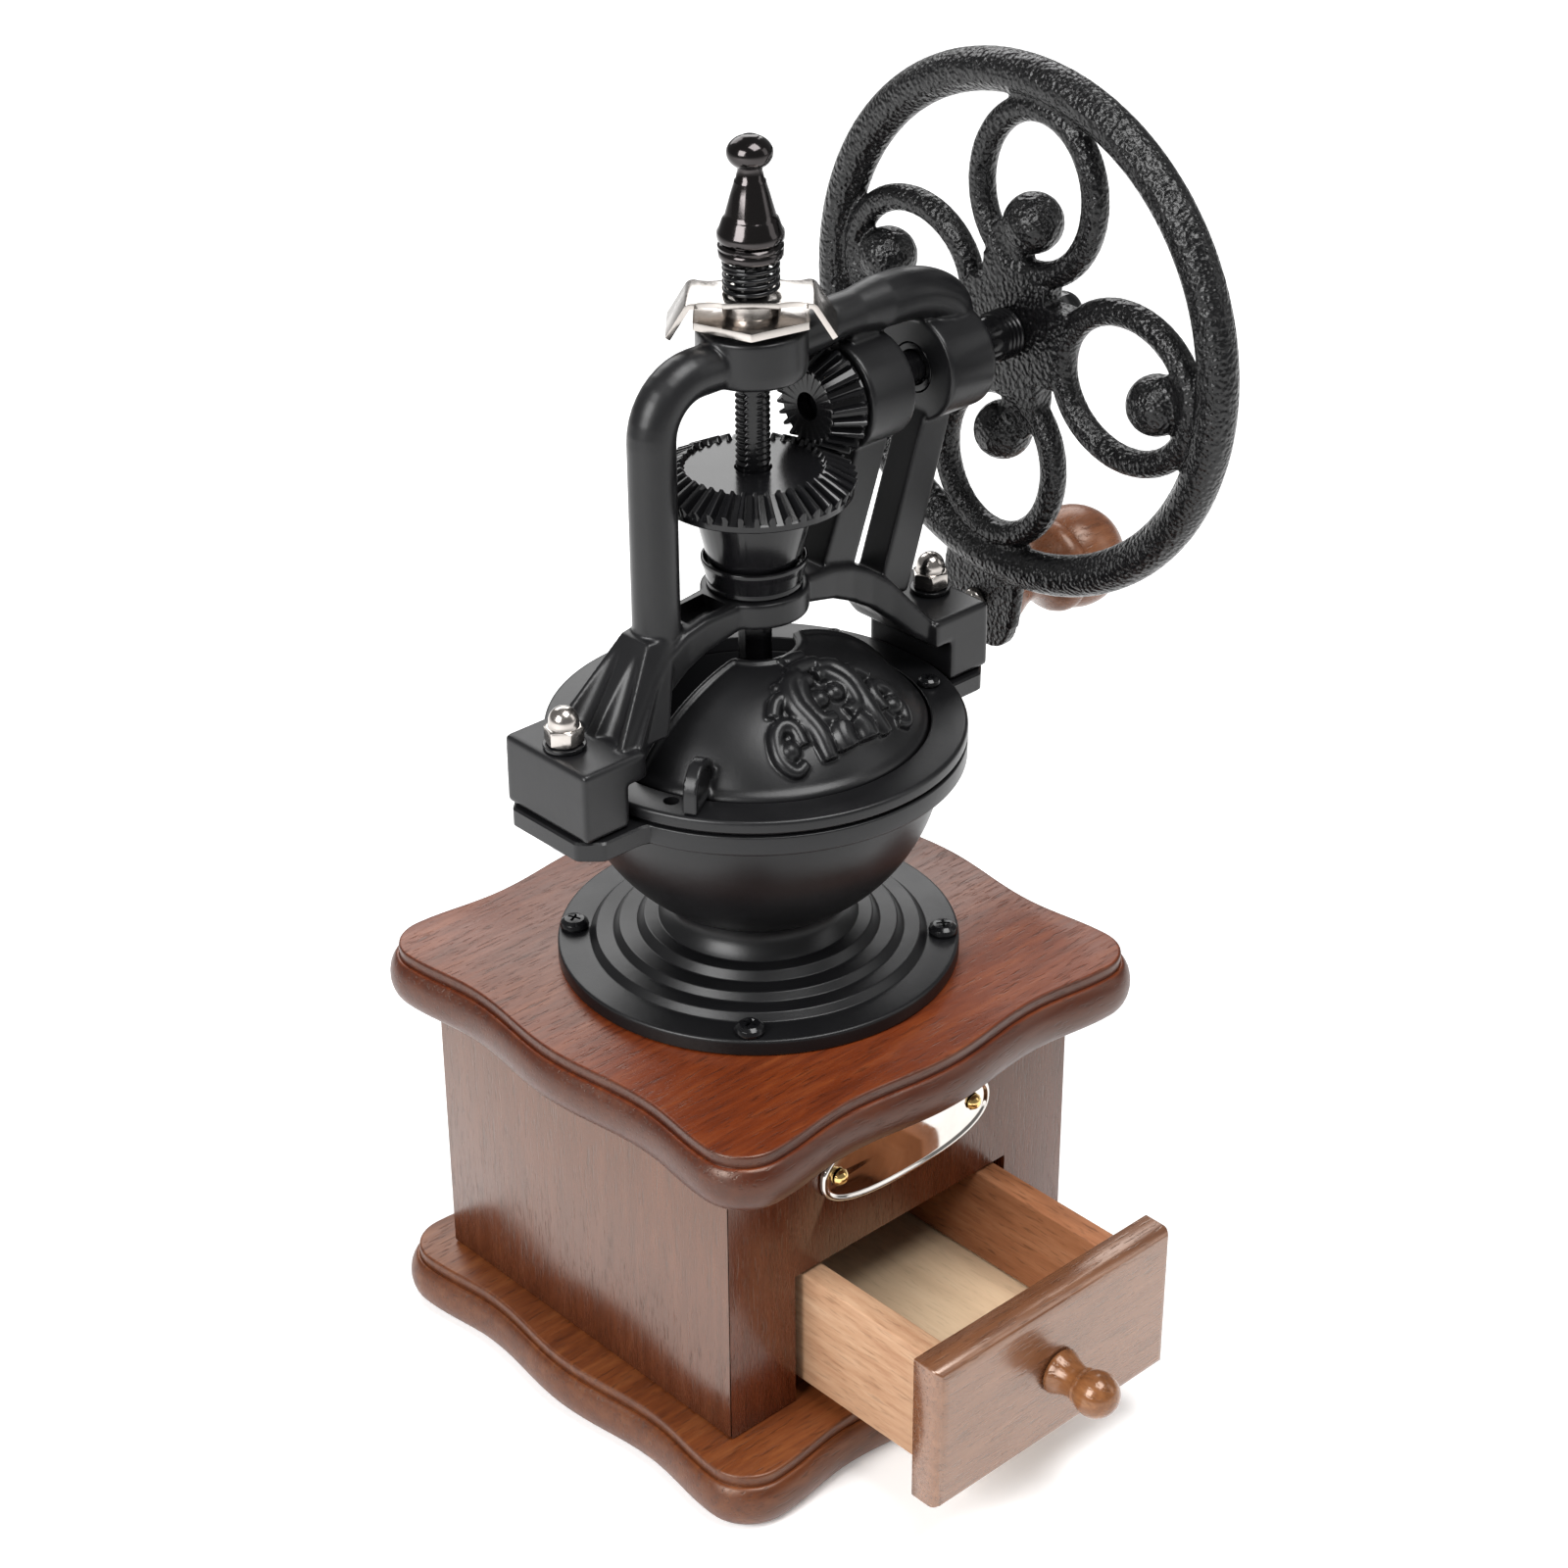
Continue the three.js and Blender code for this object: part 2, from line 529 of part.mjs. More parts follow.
const stations = [[8, collarBottom + 0.5, collarTop, 6.5], [26, 195.8, 206, 6], [37.4, 187.5, 198.4, 8],
  [blockIn + 1, 179.2, blockTop, 12.5]];
const mirrored = stations.map(([x, low, high, depth]) => [-x, low, high, depth]);
const arch = (line) => [0, 1, 2].map((i) => archSlab(line[i], line[i + 1]));

// A clamp block, stepped back under its inner edge to clear the lid ring.
function clampBlock(side) {
  const foot = flangeTop + gap;
  const outline = [[blockIn + 5.4, foot], [blockOut, foot], [blockOut, blockTop], [blockIn, blockTop],
    [blockIn, 179], [blockIn + 5.4, 179]];
  const block = upright(outline, -blockHalf, blockHalf);
  return side > 0 ? block : block.rotateZ(Math.PI);
}

const strut = (outline) => upright(outline, -4, 4);
const circlePoints = (radius, x, z, count = 10) =>
  Array.from({ length: count }, (_, i) => {
    const [dx, dy] = around(radius, i * 2 * Math.PI / count);
    return [x + dx, dy, z];
  });
const armZ = 264.9;
const bend = 13;
const legPath = [[legX, 0, 200], [legX, 0, 230], [legX, 0, armZ - bend],
  [legX + bend * 0.29, 0, armZ - bend * 0.29], [legX + bend, 0, armZ], [0, 0, armZ]];
// The arm is slim and low by the hub, where the lock plate's wings pass over it, and thicker beyond.
const slimArm = bar([[0, 0, 265.2], [19, 0, 265.2], [24, 0, 266.5], [34, 0, 266.6]], 5.1, 8, 10);
const armCone = turnedX([[0, 30], [5.1, 30], [6.3, 40], [0, 40]], 16, 0, 266.5);
const thickArm = bar([[39, 0, 266.5], [48, 0, 266], [56, 0, 263.8], [61.2, 0, 260.2], [63, 0, 254]], 6.2, 8, 10);
const bossRadius = 13.2;
const buttress = hull([...circlePoints(6.6, legX, 207), [-51, -12.5, blockTop - 0.5], [-51, 12.5, blockTop - 0.5],
  [-38, -11, blockTop + 4], [-38, 11, blockTop + 4]]);
const channels = [-6.5, 6.5].map((y) =>
  bar([[-54.5, y * 1.15, 185.5], [-45, y, 197.5], [-37.5, y * 0.72, 208]], 2.1, 3, 8));
const bosses = [[25.6, 39.5], [51, 66]];
const yoke = join(
  turned([[0, collarBottom], [hubRadius, collarBottom], [hubRadius, collarTop], [0, collarTop]], 24),
  turned([[0, hubBottom], [hubRadius - 0.8, hubBottom], [hubRadius, hubBottom + 0.8], [hubRadius, hubTop],
    [0, hubTop]], 24),
  bar(legPath, legRadius, 14, 10),
  cut(buttress, ...channels),
  ...arch(stations),
  ...arch(mirrored),
  clampBlock(1),
  clampBlock(-1),
  slimArm,
  armCone,
  thickArm,
  ...bosses.map(([x0, x1]) => rodX(bossRadius, x0, x1, 24)),
  box(27.5, 37.5, -3, 3, 255, 267),
  box(53, 65, -3, 3, 255, 267),
  strut([[31, 240], [39.3, 240], [39.3, 234.5], [27.7, 204], [17, 206]]),
  strut([[52, 240], [61.5, 240], [60, 234.5], [46, 193], [37, 197]]),
);
const bushOuter = 6;
add('frame_yoke', geometryOf(cut(yoke, rod(shaftRadius + 0.4, 190, 280, 16),
  rod(7.2, 195, collarTop - 3, 16), ...bosses.map(([x0, x1]) => rodX(bushOuter + gap, x0 - 1, x1 + 1, 16)),
  rodX(crankRadius + 1, 20, 70, 12), drill(2.7, [studX, 0], 160, 190), drill(2.7, [-studX, 0], 160, 190))), cast);

bosses.forEach(([x0, x1], i) =>
  add(['crank_bush_inner', 'crank_bush_outer'][i], ringX(crankRadius + gap, bushOuter, x0, x1, 16), gloss));

const boot = [[shaftRadius + gap, collarTop + gap], [11.6, collarTop + gap], [11.3, 209.6], [12.2, 213.2],
  [12.6, 214.6], [12.4, 215.4], [11.9, 215.4], [11.5, 214.4], [11.2, 212.4], [shaftRadius + gap, 212.4]];
add('gear_thrust_ring', turned(boot, 24), gloss);

// ---------------------------------------------------------------- frame studs, washers and cap nuts
const washerTop = blockTop + gap + 1;
const hexOutline = (across) => Array.from({ length: 6 }, (_, i) =>
  around(across / Math.sqrt(3), i * Math.PI / 3 + Math.PI / 6));
const capNut = () => join(raised(hexOutline(8), 0, 4), turned([[0, 3], [3.5, 3], [3.5, 4.8],
  ...arc(0, 5.2, 3.5, 0, 90, 4).slice(0, -1), [0, 8.7]], 16));
const sides = { left: -1, right: 1 };
for (const [name, side] of Object.entries(sides)) {
  const x = side * studX;
  const stud = turned([[0, 160], [4, 160], [4, 163], [2.4, 163], [2.4, blockTop + 6], [0, blockTop + 6]], 12);
  add(`frame_stud_${name}`, stud.translate(x, 0, 0), steel);
  add(`stud_washer_${name}`, ring(2.7, 5, blockTop + gap, washerTop, 16).translate(x, 0, 0), gloss);
  const nut = cut(capNut(), rod(2.7, -1, 5.4, 12));
  add(`cap_nut_${name}`, geometryOf(nut.translate([x, 0, washerTop + gap])), nickel);
}

// ---------------------------------------------------------------- bevel gears
// Straight bevel gear about Z with its apex at the origin and its teeth toward +Z.
// `teeth` and `mates` set the pitch cone; `shift` turns the gear by that part of a tooth.
function bevelGear(teeth, mates, radius, bore, back, shift) {
  const cone = Math.atan2(teeth, mates);
  const reach = radius / Math.sin(cone);
  const inner = (reach - toothLength) / reach;
  const pitch = 2 * Math.PI / teeth;
  const module = 2 * radius / teeth;
  const tip = 0.82 * module;
  const root = 1.15 * module;
  const point = (angle, offset, scale) => {
    const r = (radius + offset * Math.cos(cone)) * scale;
    const z = (-radius / Math.tan(cone) + offset * Math.sin(cone)) * scale;
    return [r * Math.cos(angle), r * Math.sin(angle), z];
  };
  const toothed = (scale) => {
    const loop = [];
    for (let i = 0; i < teeth; i += 1) {
      const middle = (i + shift) * pitch;
      loop.push(point(middle - 0.3 * pitch, -root, scale), point(middle - 0.11 * pitch, tip, scale));
      loop.push(point(middle + 0.11 * pitch, tip, scale), point(middle + 0.3 * pitch, -root, scale));
    }
    return loop;
  };
  const outer = toothed(1);
  const innerLoop = toothed(inner);
  const circle = (r, z) => outer.map(([x, y]) => {
    const angle = Math.atan2(y, x);
    return [r * Math.cos(angle), r * Math.sin(angle), z];
  });
  const rootOuter = point(0, -root, 1);
  const rootInner = point(0, -root, inner);
  const rimR = rootOuter[0] + 0.7;
  return skin([
    circle(bore, rootInner[2]), innerLoop, outer,
    circle(rimR, back), circle(bore, back),
  ], false);
}

const gearCone = Math.atan2(gearTeeth, pinionTeeth);
const gearDrop = gearRadius / Math.tan(gearCone);
const pinionRadius = gearRadius * pinionTeeth / gearTeeth;
const gearBack = crankZ - gearDrop - 3.1;
const largeGear = bevelGear(gearTeeth, pinionTeeth, gearRadius, shaftRadius + gap, -gearDrop - 3.1, 0.5)
  .translate(0, 0, crankZ);
const gearHub = turned([[shaftRadius + gap, 213], [10.4, 213], [10.8, 214.4], [13.9, 227.6], [16.5, gearBack + 0.4],
  [shaftRadius + gap, gearBack + 0.4]], 20);
add('driven_gear', geometryOf(join(largeGear, gearHub)), gloss);

const pinionBack = -gearRadius - 1.5;
const pinionBore = 3.4;
const smallGear = bevelGear(pinionTeeth, gearTeeth, pinionRadius, pinionBore, pinionBack, 0)
  .rotateY(-Math.PI / 2).translate(0, 0, crankZ);
add('drive_gear', geometryOf(asSolid(smallGear)), gloss);

// ---------------------------------------------------------------- grinding shaft and burrs
const lockTop = 279.5;
const shaftProfile = [[0, 112], [2.4, 112], [2.4, 119], [shaftRadius, 119], [shaftRadius, 286.9], [3, 287.2],
  [3, 302], [0, 302]];
add('grinding_shaft', turned(shaftProfile, 20), gloss);

// A burr is a turned body with slanting grooves cut along its working face.
function burrTeeth(body, grooves) {
  return geometryOf(cut(body, ...grooves));
}

const innerBurrBody = turned([[shaftRadius + gap, 119.4], [15.2, 119.4], [15.2, 121.5], [8.5, 133], [6.5, 134.5],
  [shaftRadius + gap, 134.5]], 24);
const burrGroove = (count, radius, z, lean) => Array.from({ length: count }, (_, i) =>
  box(-0.7, 0.7, -1, 1, -9, 9).rotateX(lean).rotateY(0.5).translate(0, -radius, z).rotateZ(i * 2 * Math.PI / count));
add('inner_burr', burrTeeth(innerBurrBody, burrGroove(6, 11.7, 127.5, -0.55)), steel);
const outerBurrBody = turned([[15.9, discBottom], [throat + 2.6, discBottom], [throat + 2.6, 125.6],
  [13.2, 125.6], [15.9, 120.4]], 28);
add('outer_burr', geometryOf(asSolid(outerBurrBody)), steel);
add('burr_washer', ring(2.7, 7.5, 117.4, 118.8, 20), steel);
const burrNut = cut(raised(hexOutline(8), 112.8, 117.1), rod(2.7, 100, 130, 12));
add('burr_nut', geometryOf(burrNut), steel);

// ---------------------------------------------------------------- grind adjuster on top of the shaft
const adjusterTurn = -42.6;      // rest angle of the lock plate, degrees
const nutBottom = hubTop + 1.7;
const nutPlate = raised(hexOutline(25.8), nutBottom, nutBottom + 1.7).rotateZ(radians(adjusterTurn));
const nutBoss = ring(shaftRadius + gap, 6.6, nutBottom, 277.9, 20);
add('adjuster_nut', geometryOf(cut(join(nutPlate, nutBoss), rod(shaftRadius + gap, 260, 290, 20))), nickel);
add('adjuster_washer', ring(shaftRadius + gap, 9, hubTop + gap, nutBottom - gap, 20), gloss);

// A bridge plate whose two wings are bent down over the corners of the adjusting nut.
function lockPlate() {
  const wing = (side) => {
    const profile = [[13.2, 278.2], [13.2, lockTop], [13.9, lockTop - 0.1], [18.7, 271.5], [17.6, 270.9],
      [13.4, 278.2]];
    return upright(profile.map(([x, z]) => [side * x, z]), -7.6, 7.6);
  };
  const middle = raised([[-13.6, -7.6], [13.6, -7.6], [13.6, 7.6], [-13.6, 7.6]], 278.2, lockTop);
  const scallops = [[-9.4, -8.4], [9.4, -8.4], [-9.4, 8.4], [9.4, 8.4]].map(([x, y]) =>
    rod(3.6, 270, 285, 12).scale(1, 0.5, 1).translate(x, y, 0));
  const plate = cut(join(middle, wing(1), wing(-1)), ...scallops, rod(shaftRadius + gap, 260, 290, 20));
  return plate.rotate([0, 0, adjusterTurn]);
}

add('lock_plate', geometryOf(lockPlate()), nickel);

// The spring is a round wire with both ends cut square.
const springTurns = 3;
const springLow = lockTop + gap + 0.65;
const springHigh = 287.3 - gap - 0.65;
const springPoints = Array.from({ length: springTurns * 8 + 1 }, (_, i) => {
  const share = i / (springTurns * 8);
  const [x, y] = around(6, share * springTurns * 2 * Math.PI);
  return [x, y, springLow + (springHigh - springLow) * share];
});
add('lock_spring', bar(springPoints, 0.6, springTurns * 8, 4), gloss);

const finialProfile = [[0, 302.4], [3.4, 302.4], [3.4, 287.3], [6.6, 287.3], [7.4, 288], [7.5, 290.6], [7, 291.2],
  [7.5, 291.8], [7.6, 294], [6, 297], [5.6, 298], [3.1, 306.8], [2.7, 307.6],
  ...arc(0, 0, 1, -58, 72, 6).map(([x, y]) => [5.2 * x, 311.5 + 3.9 * y]), [0, 315.3]];
add('finial_nut', turned(finialProfile, 14), gunmetal);

// ---------------------------------------------------------------- crank shaft and wheel
const hubIn = wheelX - 3.7;
const hubOut = wheelX + 8;
const crankProfile = [[0, 17.2], [3, 17.2], [3, 25], [crankRadius, 25.3], [crankRadius, 100], [0, 100]];
add('crank_shaft', turnedX(crankProfile, 20), gloss);
const collarProfile = [[crankRadius + gap, 70], [5.6, 70], [5.6, 78], [6.2, 78.6], [5.6, 79.4], [6.2, 80.2],
  [5.6, 81], [6.2, 81.8], [5.6, hubIn - gap], [crankRadius + gap, hubIn - gap]];
add('shaft_spacer', turnedX(collarProfile, 16), gloss);
add('wheel_washer', ringX(crankRadius + gap, 8.5, hubOut + gap, hubOut + 1.6, 20), gloss);
const wheelNutBody = join(
  raised(hexOutline(12), 0, 4.6),
  turned([[0, 4], [5.2, 4], [5.2, 5.4], ...arc(0, 5.6, 5.2, 0, 90, 4).slice(0, -1), [0, 10.8]], 18),
);
const wheelNut = cut(wheelNutBody, rod(crankRadius + gap, -1, 4.6, 16));
add('wheel_nut', geometryOf(wheelNut.rotate([0, 90, 0]).translate([hubOut + 1.9, 0, crankZ])), gloss);

// The wheel is drawn in its own plane as [y, z] from its centre, upright, then turned to its rest angle.
// One oval loop between hub and rim; `ballAt` is where its ball sits.
function wheelLoop(angle, ballAt) {
  const pieces = [ovalBar(18.2, 20.4, 0, 36, 3.4, 18, 6), ball(7.5, 0, 0, ballAt, 1, 10)];
  const web = ballAt < 40
    ? hull([[-2, 0, 15], [2, 0, 15], [-2, 0, ballAt], [2, 0, ballAt], [-2, 14, 20], [2, 14, 20], [-2, 4, ballAt + 4],
      [2, 4, ballAt + 4]])
    : hull([[-2, 0, 58], [2, 0, 58], [-2, 0, ballAt], [2, 0, ballAt], [-2, 12, 54], [2, 12, 54], [-2, 5, ballAt],
      [2, 5, ballAt]]);
  return join(...pieces, web).rotate([angle, 0, 0]);
}

const crossPlate = hull([[-10, 16], [10, 16], [16, 10], [16, -10], [10, -16], [-10, -16], [-16, -10], [-16, 10]]
  .flatMap(([y, z]) => [[-3.7, y, z], [3.4, y, z]]));
const armOutline = [[-12.4, -58], [12.4, -58], ...arc(3.4, -79.6, 9, 0, -90, 4),
  ...arc(-3.4, -79.6, 9, -90, -180, 4)];
const armPlate = raised(armOutline.map(([y, z]) => [-z, y]), -1.2, 2.2).rotateY(Math.PI / 2);
const wheelBody = join(
  ovalBar(wheelRim, wheelRim, 0, 0, rimTube, 44, 8),
  wheelLoop(0, 28),
  wheelLoop(180, 28),
  wheelLoop(90, 45.6),
  wheelLoop(-90, 45.6),
  crossPlate,
  rod(wheelHub, -3.7, 8, 20).rotateY(Math.PI / 2),
  armPlate,
);
const wheelHoles = [
  rod(crankRadius + gap, -20, 20, 16).rotateY(Math.PI / 2),
  rod(2.3, -20, 20, 12).rotateY(Math.PI / 2).translate(0, 0, -knobReach),
];
const placeWheel = (body) => geometryOf(asSolid(body).rotate([wheelTurn * 180 / Math.PI, 0, 0])
  .translate([wheelX, 0, crankZ]));
add('crank_wheel', placeWheel(cut(wheelBody, ...wheelHoles)), hammered);

// ---------------------------------------------------------------- crank knob
const onArm = (body) => placeWheel(asSolid(body).rotate([0, 90, 0]).translate([0, 0, -knobReach]));
const crankKnobProfile = [[2.6, 3], [9.4, 3], [9.8, 5], [8.8, 9], [7, 13.5], [6.4, 16.5], [7.6, 19.5], [10.6, 22.5],
  [12, 25.5], [12.6, 27.2], [12.2, 28.2], ...arc(0, 35, 13.6, -28, 76, 7), [3.6, 48.4], [3.6, 44], [2.6, 44]];
add('crank_knob', onArm(turned(crankKnobProfile, 16)), knobWood);
const axleProfile = [[0, -4.2], [2, -3.8], [3, -2.6], [3.1, -1.5], [2, -1.5], [2, 44.4], [3.1, 44.4], [3.1, 46.6],
  [2.2, 47.4], [0, 47.4]];
add('knob_axle', onArm(turned(axleProfile, 14)), nickel);

export default group;
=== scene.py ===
"""Hand crank coffee grinder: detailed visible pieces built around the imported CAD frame.

Shapes are worked out in millimetres in the frame's own axes (+Z up, drawer toward -Y, wheel on +X)
and turned into metres when a mesh is made.  A shape is a pair: an array of points and a list of faces.
"""
import math

import bmesh
import bpy
import numpy as np
from mathutils import Matrix, Vector, noise


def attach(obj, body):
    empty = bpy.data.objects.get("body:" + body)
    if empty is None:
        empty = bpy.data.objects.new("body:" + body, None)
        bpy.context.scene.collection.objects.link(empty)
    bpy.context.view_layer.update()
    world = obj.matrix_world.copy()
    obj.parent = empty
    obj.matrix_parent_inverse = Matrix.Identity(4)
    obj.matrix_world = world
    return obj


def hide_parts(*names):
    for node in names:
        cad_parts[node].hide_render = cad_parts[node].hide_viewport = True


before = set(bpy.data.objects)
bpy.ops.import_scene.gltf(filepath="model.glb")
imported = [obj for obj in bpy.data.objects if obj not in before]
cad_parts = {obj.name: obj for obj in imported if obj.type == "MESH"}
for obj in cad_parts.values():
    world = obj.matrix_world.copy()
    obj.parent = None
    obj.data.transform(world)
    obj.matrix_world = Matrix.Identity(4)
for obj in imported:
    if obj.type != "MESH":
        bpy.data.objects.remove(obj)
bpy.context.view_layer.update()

MM = 0.001

# ---- driving dimensions, millimetres
GAP = 0.3               # left between parts that meet or turn in each other
CRANK_Z = 247.0         # height of the crank's axis
WHEEL_X = 87.0          # middle plane of the wheel
WHEEL_TURN = math.radians(8)
HUB_INSIDE, HUB_OUTSIDE = 3.7, 8.0      # how far the wheel's hub reaches each way from that plane
KNOB_REACH = 77.0       # from the crank's axis to the knob's
KNOB_AXLE = 2.3         # radius of its hole in the wheel
CRANK_SHAFT = 4.0       # radius
CRANK_HOLE = CRANK_SHAFT + GAP
BUSH_RADIUS = 6.0
CRANK_BUSHES = (("crank_bush_inner", 25.6, 39.5), ("crank_bush_outer", 51.0, 66.0))
GEAR_TEETH, PINION_TEETH = 40, 22
GEAR_RADIUS = 23.6
PINION_RADIUS = GEAR_RADIUS * PINION_TEETH / GEAR_TEETH
TOOTH_LENGTH = 8.2
SHAFT_RADIUS = 4.1
SHAFT_HOLE = SHAFT_RADIUS + GAP     # radius of the hole in the parts that sit round the shaft
FLAT_ANGLE = math.radians(47)     # the shaft's two flats face this way and the opposite way
BASE_TOP, RUNNER_TOP = 15.4, 19.6
TOP_PLATE = (93.0, 108.4)           # its underside and its face
BOX_BOTTOM, BOX_TOP = BASE_TOP + GAP, TOP_PLATE[0] - GAP
BOX_MIDDLE_Y = 2.6      # the box stands this far back from the shaft axis
DECK = TOP_PLATE[1] + GAP           # underside of the hopper's foot
FOOT_TOP = DECK + 4
FLANGE_RADIUS, FLANGE_TOP = 50.5, 168.4
BOWL_CENTRE, BOWL_INSIDE, THROAT = 165.0, 42.0, 17.6
RING_BOTTOM, RING_TOP = FLANGE_TOP + GAP, 172.4
DOME_TOP, DOME_RADIUS = 193.5, 49.2
DOME_CENTRE = DOME_TOP - DOME_RADIUS
FOOT_SCREWS, FOOT_SCREW_REACH = (("front", -135), ("right", -45), ("rear", 45), ("left", 135)), 45.5
LID_SCREWS, LID_SCREW_REACH = (("front_right", -22), ("rear_right", 22), ("rear_left", 158)), 44.6
EMPTY_HOLE = -158       # the lid ring's fourth hole has no screw
BLOCK_TOP = 186.1       # top of the clamp blocks
COLLAR_BOTTOM, COLLAR_TOP = 201.5, 208.0
FRAME_TOP = 271.6       # top of the frame's upper hub
STUD_X, STUD_HOLE = 58.2, 2.7
FACE_Y = -51.9          # back of the name plate
PLATE_Z = 77.2          # middle of the name plate
PIN_X = 22.6
PANEL_BACK, PANEL_FRONT = -95.5, -104.5
PANEL_MIDDLE = 36.8     # height of the drawer knob

# ---- shapes


def combine(*shapes):
    """Several shapes as one, still overlapping."""
    points, faces, start = [], [], 0
    for p, f in shapes:
        points.append(np.asarray(p, float))
        faces += [[i + start for i in face] for face in f]
        start += len(p)
    return np.vstack(points), faces


def moved(shape, x=0.0, y=0.0, z=0.0):
    return np.asarray(shape[0], float) + np.array([x, y, z]), shape[1]


def turned(shape, axis, degrees):
    m = np.array(Matrix.Rotation(math.radians(degrees), 3, axis))
    return np.asarray(shape[0], float) @ m.T, shape[1]


def along_x(shape):
    """A shape made along Z, laid along the crank's axis."""
    return moved(turned(shape, "Y", 90), 0, 0, CRANK_Z)


def along_front(shape, x, y, z):
    """A shape made along Z, pointing out of the front face."""
    return moved(turned(shape, "X", 90), x, y, z)


def on_knob_axle(shape):
    """A shape made along Z, laid along the knob's axis at the wheel's rest angle."""
    return in_wheel(moved(turned(shape, "Y", 90), 0, 0, -KNOB_REACH))


def in_wheel(shape):
    """A shape made in the wheel's own plane (X out, Y and Z in the plane), set at its rest angle."""
    return moved(turned(shape, "X", math.degrees(WHEEL_TURN)), WHEEL_X, 0, CRANK_Z)


def mirrored(shape):
    return np.asarray(shape[0], float) * [-1, 1, 1], [face[::-1] for face in shape[1]]


def polar(reach, degrees):
    a = math.radians(degrees)
    return reach * math.cos(a), reach * math.sin(a)


def arc(cx, cy, radius, start, end, count):
    angles = [math.radians(start + (end - start) * i / count) for i in range(count + 1)]
    return [(cx + radius * math.cos(a), cy + radius * math.sin(a)) for a in angles]


def rounded(points, radius, steps=4, closed=False):
    """The outline with its corners rounded; a point may carry its own radius as a third number."""
    out, count = [], len(points)
    for i, point in enumerate(points):
        r = point[2] if len(point) > 2 else radius
        here = np.array(point[:2], float)
        if r <= 0 or (not closed and i in (0, count - 1)):
            out.append(tuple(here))
            continue
        before = np.array(points[i - 1][:2], float) - here
        after = np.array(points[(i + 1) % count][:2], float) - here
        la, lb = np.linalg.norm(before), np.linalg.norm(after)
        ua, ub = before / la, after / lb
        angle = math.acos(max(-1, min(1, float(ua @ ub))))
        if angle > math.pi - 0.03:
            out.append(tuple(here))
            continue
        reach = min(r / math.tan(angle / 2), 0.48 * la, 0.48 * lb)
        for k in range(steps + 1):
            t = k / steps
            p = (1 - t) ** 2 * (here + ua * reach) + 2 * t * (1 - t) * here + t * t * (here + ub * reach)
            out.append(tuple(p))
    return out


def skin(loops, closed=False, caps=True):
    """Faces between loops of equal length; each loop is closed on itself."""
    n = len(loops[0])
    points = np.array([p for loop in loops for p in loop], float)
    faces = []
    for k in range(len(loops) if closed else len(loops) - 1):
        a, b = k * n, ((k + 1) % len(loops)) * n
        faces += [[a + i, a + (i + 1) % n, b + (i + 1) % n, b + i] for i in range(n)]
    if caps and not closed:
        faces.append(list(range(n))[::-1])
        faces.append([(len(loops) - 1) * n + i for i in range(n)])
    return points, faces


def lathe(profile, sides=96):
    """Turned about Z from (radius, height) points, ending on the axis or closing on itself."""
    points, faces, rings = [], [], []
    for r, z in profile:
        if r < 1e-6:
            rings.append([len(points)])
            points.append((0, 0, z))
        else:
            rings.append(list(range(len(points), len(points) + sides)))
            points += [(r * math.cos(a), r * math.sin(a), z)
                       for a in (2 * math.pi * i / sides for i in range(sides))]
    pairs = list(zip(rings, rings[1:]))
    if len(rings[0]) > 1:
        pairs.append((rings[-1], rings[0]))
    for a, b in pairs:
        for i in range(sides):
            j = (i + 1) % sides
            if len(a) == 1:
                faces.append([a[0], b[j], b[i]])
            elif len(b) == 1:
                faces.append([a[i], a[j], b[0]])
            else:
                faces.append([a[i], a[j], b[j], b[i]])
    return np.array(points, float), faces


def rod(radius, z0, z1, sides=48, edge=0.0):
    profile = [(0, z0, 0), (radius, z0), (radius, z1), (0, z1, 0)]
    return lathe(rounded(profile, edge), sides)


def pipe(inner, outer, z0, z1, edge=0.2):
    return lathe(rounded([(inner, z0), (outer, z0), (outer, z1), (inner, z1)], edge, closed=True), 64)


def smooth_path(points, per):
    """Catmull-Rom curve through the points, with this many steps between each pair."""
    p = [np.array(q, float) for q in points]
    p = [2 * p[0] - p[1]] + p + [2 * p[-1] - p[-2]]
    out = []
    for a, b, c, d in zip(p, p[1:], p[2:], p[3:]):
        for k in range(per):
            t = k / per
            out.append(0.5 * (2 * b + (c - a) * t + (2 * a - 5 * b + 4 * c - d) * t * t
                              + (3 * b - a - 3 * c + d) * t ** 3))
    return out + [p[-2]]


def tube(path, radius, sides, closed=False, up=None):
    """A round bar along a path; radius may be one number or one for each point."""
    path = [np.array(q, float) for q in path]
    n = len(path)
    radii = [radius] * n if np.isscalar(radius) else list(radius)
    normal, loops = None, []
    for i in range(n):
        ahead = path[(i + 1) % n] if (closed or i + 1 < n) else path[i]
        behind = path[i - 1] if (closed or i > 0) else path[i]
        tangent = ahead - behind
        tangent /= np.linalg.norm(tangent)
        if up is not None:
            normal = np.array(up, float)
        elif normal is None:
            normal = np.array([0, 0, 1.0]) if abs(tangent[2]) < 0.9 else np.array([0, 1.0, 0])
        normal = normal - tangent * (normal @ tangent)
        normal /= np.linalg.norm(normal)
        side = np.cross(tangent, normal)
        loops.append([path[i] + radii[i] * (math.cos(a) * side + math.sin(a) * normal)
                      for a in (2 * math.pi * k / sides for k in range(sides))])
    return skin(loops, closed=closed)


def prism(outline, z0, z1):
    return skin([[(x, y, z) for x, y in outline] for z in (z0, z1)])


def upright(outline, half):
    """An outline in X and Z, thickened by this much each way in Y."""
    return skin([[(x, y, z) for x, z in outline] for y in (half, -half)])


def block(x0, x1, y0, y1, z0, z1):
    return prism([(x0, y0), (x1, y0), (x1, y1), (x0, y1)], z0, z1)


